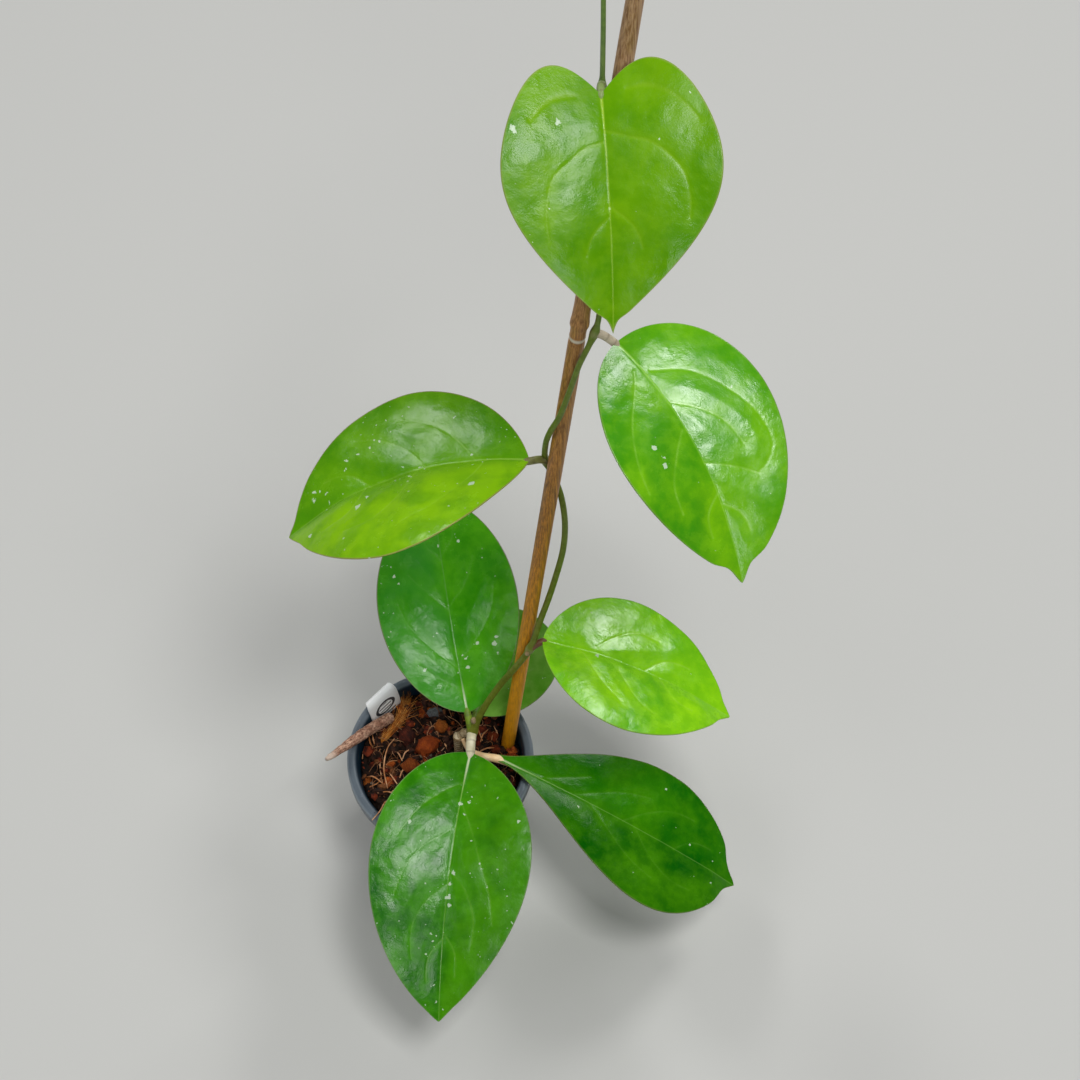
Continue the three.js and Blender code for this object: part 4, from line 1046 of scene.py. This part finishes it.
def leaf_fill(form, t, drip=0.0):
    """How much of its half-width a blade has at t along it; drip draws its tip out thin."""
    p, q = form
    m = p / (p + q)
    t = np.clip(t, 0, 1)
    return (t / m) ** p * ((1 - t) / (1 - m)) ** q * (
        1 - drip * np.exp(-((1 - t) / 0.055) ** 4))


def half_width(leaf, side, t):
    """The blade's half-width in mm, with the narrow neck that some blades start from."""
    return leaf["halves"][side] * leaf_fill(leaf["forms"][side], t, leaf["drip"]) \
        + leaf.get("neck", 0) * np.exp(-np.asarray(t) / 0.06)


def flattened(leaf, t, v):
    """Where t along and v across (-1 to 1) lie on the blade pressed flat, in mm."""
    t, v = np.asarray(t, float), np.asarray(v, float)
    return t * leaf["length"], v * np.where(v > 0, half_width(leaf, 0, t),
                                            half_width(leaf, 1, t))


def blade_points(leaf, t, v, drop=0.0):
    """Points of a blade made along +X, t along it and v across it, drop under its top, in mm.
    The midrib bends evenly down (droop) and aside (sweep); the halves fold up from it."""
    t, v = np.asarray(t, float), np.asarray(v, float)
    wide = np.where(v > 0, *leaf["halves"])
    w = abs(flattened(leaf, t, v)[1]) / wide
    back = t - np.where(v > 0, *leaf.get("lobes", (0, 0))) * w \
        * (1 - t) ** leaf.get("lobe_fade", 3) / leaf["length"]
    along = np.clip(back, 0, 1)
    steps = (np.arange(SPINE_STEPS) + 0.5) / SPINE_STEPS
    down, aside = math.radians(leaf["droop"]), math.radians(leaf["sweep"])
    headings = np.stack([np.cos(down * steps) * np.cos(aside * steps),
                         np.cos(down * steps) * np.sin(aside * steps), np.sin(down * steps)])
    run = np.concatenate([np.zeros((3, 1)), np.cumsum(headings, axis=1)], axis=1)
    run *= leaf["length"] / SPINE_STEPS
    spine = np.stack([np.interp(along * SPINE_STEPS, np.arange(SPINE_STEPS + 1), axis)
                      for axis in run], axis=-1)
    spine[..., 0] += np.minimum(back, 0) * leaf["length"]
    a, b = down * along, aside * along
    forward = np.stack([np.cos(a) * np.cos(b), np.cos(a) * np.sin(b), np.sin(a)], axis=-1)
    left = np.stack([-np.sin(b), np.cos(b), 0 * b], axis=-1)
    rise = wide * (math.tan(math.radians(leaf["fold"])) * w - leaf["camber"] * w * w) - drop
    drip = leaf["tip"] * np.clip((t - 0.955) / 0.045, 0, 1) ** 1.6
    return spine + left * (np.sign(v) * w * wide)[..., None] + forward * drip[..., None] \
        + np.cross(forward, left) * rise[..., None]


def leaf_matrix(leaf):
    """Turns a blade made along +X into its place on the plant."""
    y, i, r = (math.radians(leaf[k]) for k in ("yaw", "pitch", "roll"))
    ahead = Vector((math.cos(i) * math.cos(y), math.cos(i) * math.sin(y), math.sin(i)))
    flat = Vector((-math.sin(y), math.cos(y), 0))
    upright = ahead.cross(flat)
    left = flat * math.cos(r) + upright * math.sin(r)
    up = upright * math.cos(r) - flat * math.sin(r)
    turn = Matrix((ahead, left, up)).transposed().to_4x4()
    return Matrix.Scale(MM, 4) @ Matrix.Translation(leaf["base"]) @ turn


def rib_radius(leaf, t):
    """The radius in mm of the raised midrib under the blade, at t along it."""
    start = leaf["stalk_radii"][1]
    return RIB_END_MM + (start - RIB_END_MM) * (0.75 * np.exp(-t / 0.03) + 0.25 * (1 - t))


def ripples(x, y, scale, seed):
    """Smooth noise at points of the flat blade."""
    return np.array([noise.noise((a * scale, b * scale, seed)) for a, b in zip(x, y)])


for number, (node, leaf) in enumerate(LEAVES.items()):
    home = leaf_matrix(leaf)
    drawn = [smooth_line([(*p, 0) for p in vein], VEIN_STEPS) for vein in leaf["veins"]]
    vein_x, vein_y = flattened(leaf, [p.x for line in drawn for p in line],
                               [p.y for line in drawn for p in line])
    nearest = kdtree.KDTree(len(vein_x))
    for i, p in enumerate(zip(vein_x, vein_y)):
        nearest.insert((*p, 0), i)
    nearest.balance()

    # The sheet, with its stations closer together at the stalk, the tip and the margins.
    bm = bmesh.new()
    bmesh.ops.create_grid(bm, x_segments=LONG, y_segments=WIDE, size=1.0)
    sheet = np.array([v.co[:2] for v in bm.verts])
    t = 0.5 * (1 - np.cos(math.pi * (sheet[:, 0] + 1) / 2))
    across = np.sin(sheet[:, 1] * math.pi / 2) * 0.35 + sheet[:, 1] * 0.65
    flat_x, flat_y = flattened(leaf, t, across)
    margin_y = flattened(leaf, t, np.where(across > 0, 1.0, -1.0))[1]
    edge = np.minimum(abs(margin_y) - abs(flat_y), (1 - t) * leaf["length"] * 1.2 + 0.2)
    to_rib = abs(flat_y)
    to_vein = np.array([nearest.find((x, y, 0))[2] for x, y in zip(flat_x, flat_y)])
    closest = np.minimum(to_vein, to_rib * 1.15)
    spot_t, spot_v, spot_radius = zip(*leaf["spots"])
    to_spot = np.min([np.hypot(flat_x - x, flat_y - y) - r
                      for x, y, r in zip(*flattened(leaf, spot_t, spot_v), spot_radius)], axis=0)
    # Its relief: puffed up between the veins, sunk along them, and gently uneven all over.
    lift = 0.6 * leaf["puff"] * (1 - np.exp(-(closest / 7) ** 2)) * (1 - np.exp(-edge / 8))
    lift -= VEIN_SINK_MM * np.exp(-(to_vein / 0.7) ** 2)
    lift -= RIB_SINK_MM * np.exp(-(to_rib / 0.9) ** 2) * (1 - 0.6 * t)
    for height, scale, seed in RIPPLES:
        lift += height * ripples(flat_x, flat_y, scale, number * seed)
    lift *= np.clip(t * 12, 0, 1)
    marks = {"rib_mm": to_rib, "vein_mm": to_vein, "edge_mm": edge, "spot_mm": to_spot, "along": t,
             "across": across, "lift": lift}
    layers = {key: bm.verts.layers.float.new(key) for key in marks}
    for i, (v, spot) in enumerate(zip(bm.verts, blade_points(leaf, t, across))):
        for key, values in marks.items():
            v[layers[key]] = values[i]
        v.co = home @ Vector(spot)
    bmesh.ops.remove_doubles(bm, verts=bm.verts, dist=2e-6)
    bm.normal_update()
    if sum(f.normal.dot(home.to_3x3() @ Vector((0, 0, 1))) for f in bm.faces) < 0:
        bmesh.ops.reverse_faces(bm, faces=bm.faces)
        bm.normal_update()

    # The blade's thickness: the sheet drawn up off its copy, with a wall round the margin.
    under = {v: v.normal.copy() for v in bm.verts}
    facing_at = {v.co.copy().freeze(): facing for v, facing in under.items()}
    under_faces = bm.faces[:]
    drawn = bmesh.ops.extrude_face_region(bm, geom=under_faces, use_keep_orig=True)["geom"]
    for v in (g for g in drawn if isinstance(g, bmesh.types.BMVert)):
        v.co += facing_at[v.co.copy().freeze()] * v[layers["lift"]] * MM
    for face in under_faces:
        face.material_index = 1
    for v, facing in under.items():
        thick = BLADE_EDGE_MM + (BLADE_MM - BLADE_EDGE_MM) * min(1, v[layers["edge_mm"]] / 2.5)
        v.co += facing * (v[layers["lift"]] * 0.6 - thick) * MM
    bmesh.ops.recalc_face_normals(bm, faces=bm.faces)
    blade_faces = len(bm.faces)

    # The round stalk, which runs on under the blade as its raised midrib.
    rib_at = np.array([0.004, 0.025, 0.05, 0.1, 0.2, 0.35, 0.5, 0.65, 0.8, 0.9])
    rib_drop = rib_radius(leaf, rib_at) + 0.72
    rib_drop[:2] *= (0.4, 0.8)
    rib_line = [home @ Vector(p) for p in blade_points(leaf, rib_at, 0 * rib_at, rib_drop)]
    stalk = smooth_line([Vector(p) * MM for p in leaf["stalk"]] + rib_line, STALK_STEPS)
    blade_start = min(range(len(stalk)), key=lambda k: (stalk[k] - rib_line[0]).length)
    first, last = leaf["stalk_radii"]
    step_mm = (stalk[1] - stalk[0]).length / MM
    widths = [first + (last - first) * k / blade_start for k in range(blade_start)]
    widths += [rib_radius(leaf, k * step_mm / leaf["length"])
               for k in range(len(stalk) - blade_start)]
    draw_rod(bm, stalk, lambda u: widths[round(u * STALK_STEPS)] * MM, 20)
    bm.faces.ensure_lookup_table()
    for face in bm.faces[blade_faces:]:
        face.material_index = 2
    bmesh.ops.recalc_face_normals(bm, faces=bm.faces[blade_faces:])

    top_skin, tree, shader = new_material(node + "_skin", roughness=0.3,
                                          specular=0.05 + 0.48 * leaf["gloss"])
    look = grouped(tree, skin, Deep=paint(leaf["deep"]), Light=paint(leaf["light"]),
                   Other_half=paint(leaf["other"]), Other_amount=leaf["other_amount"],
                   Vein=paint(leaf["vein"]), Margin=paint(leaf["margin"]),
                   Vein_show=leaf["vein_show"], Flecks=leaf["flecks"], Mottle=leaf["mottle"],
                   Rib_glow=leaf["rib_glow"], Rib_show=leaf["rib_show"],
                   Cream_rib=leaf["cream_rib"], Seed=number * 3.1)
    dress(tree, shader, look["Colour"], look["Height"], 0.22, 0.0005)
    tree.links.new(look["Roughness"], shader.inputs["Roughness"])
    underside, tree, shader = new_material(node + "_underside", roughness=0.5)
    tones = mottled(tree, *(("7f9f58", "93b068") if leaf["young"] else ("5f8448", "74965a")),
                    scale=90.0, contrast=0.4, fine_scale=1500.0)
    dress(tree, shader, tones["Colour"], tones["Height"], 0.25, 0.0003)
    stalk_skin, tree, shader = new_material(node + "_stalk", roughness=0.5, coat=0.1)
    tones = mottled(tree, leaf["stalk_colour"], leaf["stalk_light"], scale=260.0, contrast=0.5,
                    fine_scale=2200.0)
    wave = maths(tree, "SINE", maths(tree, "MULTIPLY", carried(tree, "along"), 160.0))
    creased = ranged(tree, wave, 0.7, 1.0, 0.0, leaf.get("ring_show", 0.35))
    dress(tree, shader, blend(tree, creased, tones["Colour"], paint("5a4830")),
          tones["Height"], 0.4, 0.0003)
    made = piece(node + "_blade", bm, [top_skin, underside, stalk_skin])
    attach(made, "root")
    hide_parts(node)

# ---------------------------------------------------------------------------------------------
# The studio: a pale seamless floor under the pot, a dim even sky and broad soft lamps. The camera
# looks down on the plant from above its front, as the photographer did.
PLANT_MIDDLE = (0.04, 0.03, 0.3)

floor_finish, tree, shader = new_material("pale_floor", roughness=0.9, specular=0.1)
shader.inputs["Base Color"].default_value = paint("cfcfcb")
bm = bmesh.new()
bmesh.ops.create_grid(bm, x_segments=2, y_segments=2, size=3.0)
floor = piece("pale_floor", bm, [floor_finish], smooth=False)

world = bpy.data.worlds.new("soft_sky")
bpy.context.scene.world = world
world.use_nodes = True
sky = world.node_tree.nodes["Background"].inputs
sky["Color"].default_value, sky["Strength"].default_value = (0.92, 0.95, 1, 1), 0.13


def lamp(name, at, towards, size, watts):
    """A square soft lamp, turned towards a point."""
    data = bpy.data.lights.new(name, "AREA")
    data.shape, data.size, data.energy = "SQUARE", size, watts
    made = bpy.data.objects.new(name, data)
    made.location = at
    made.rotation_euler = (Vector(towards) - Vector(at)).to_track_quat("-Z", "Y").to_euler()
    bpy.context.scene.collection.objects.link(made)


lamp("overhead_lamp", (0.42, -0.28, 1.9), PLANT_MIDDLE, 0.45, 14)
lamp("front_lamp", (0.3, -1.3, 1.7), PLANT_MIDDLE, 0.45, 5)
lamp("left_lamp", (-1.2, -0.5, 1.4), (0.0, 0.0, 0.1), 0.9, 5)
lamp("rear_left_lamp", (-0.9, 1.2, 1.5), PLANT_MIDDLE, 0.5, 8)
lamp("rear_right_lamp", (1.1, 1.2, 1.5), PLANT_MIDDLE, 0.5, 11)

lens = bpy.data.cameras.new("photo_camera")
lens.lens, lens.sensor_width, lens.clip_start = 80, 36, 0.01
camera = bpy.data.objects.new("photo_camera", lens)
camera.location = (0.048, -0.4223, 1.1604)
camera.rotation_euler = (math.radians(26.5), 0, 0)
bpy.context.scene.collection.objects.link(camera)
bpy.context.scene.camera = camera
bpy.context.scene.view_settings.view_transform = "Standard"
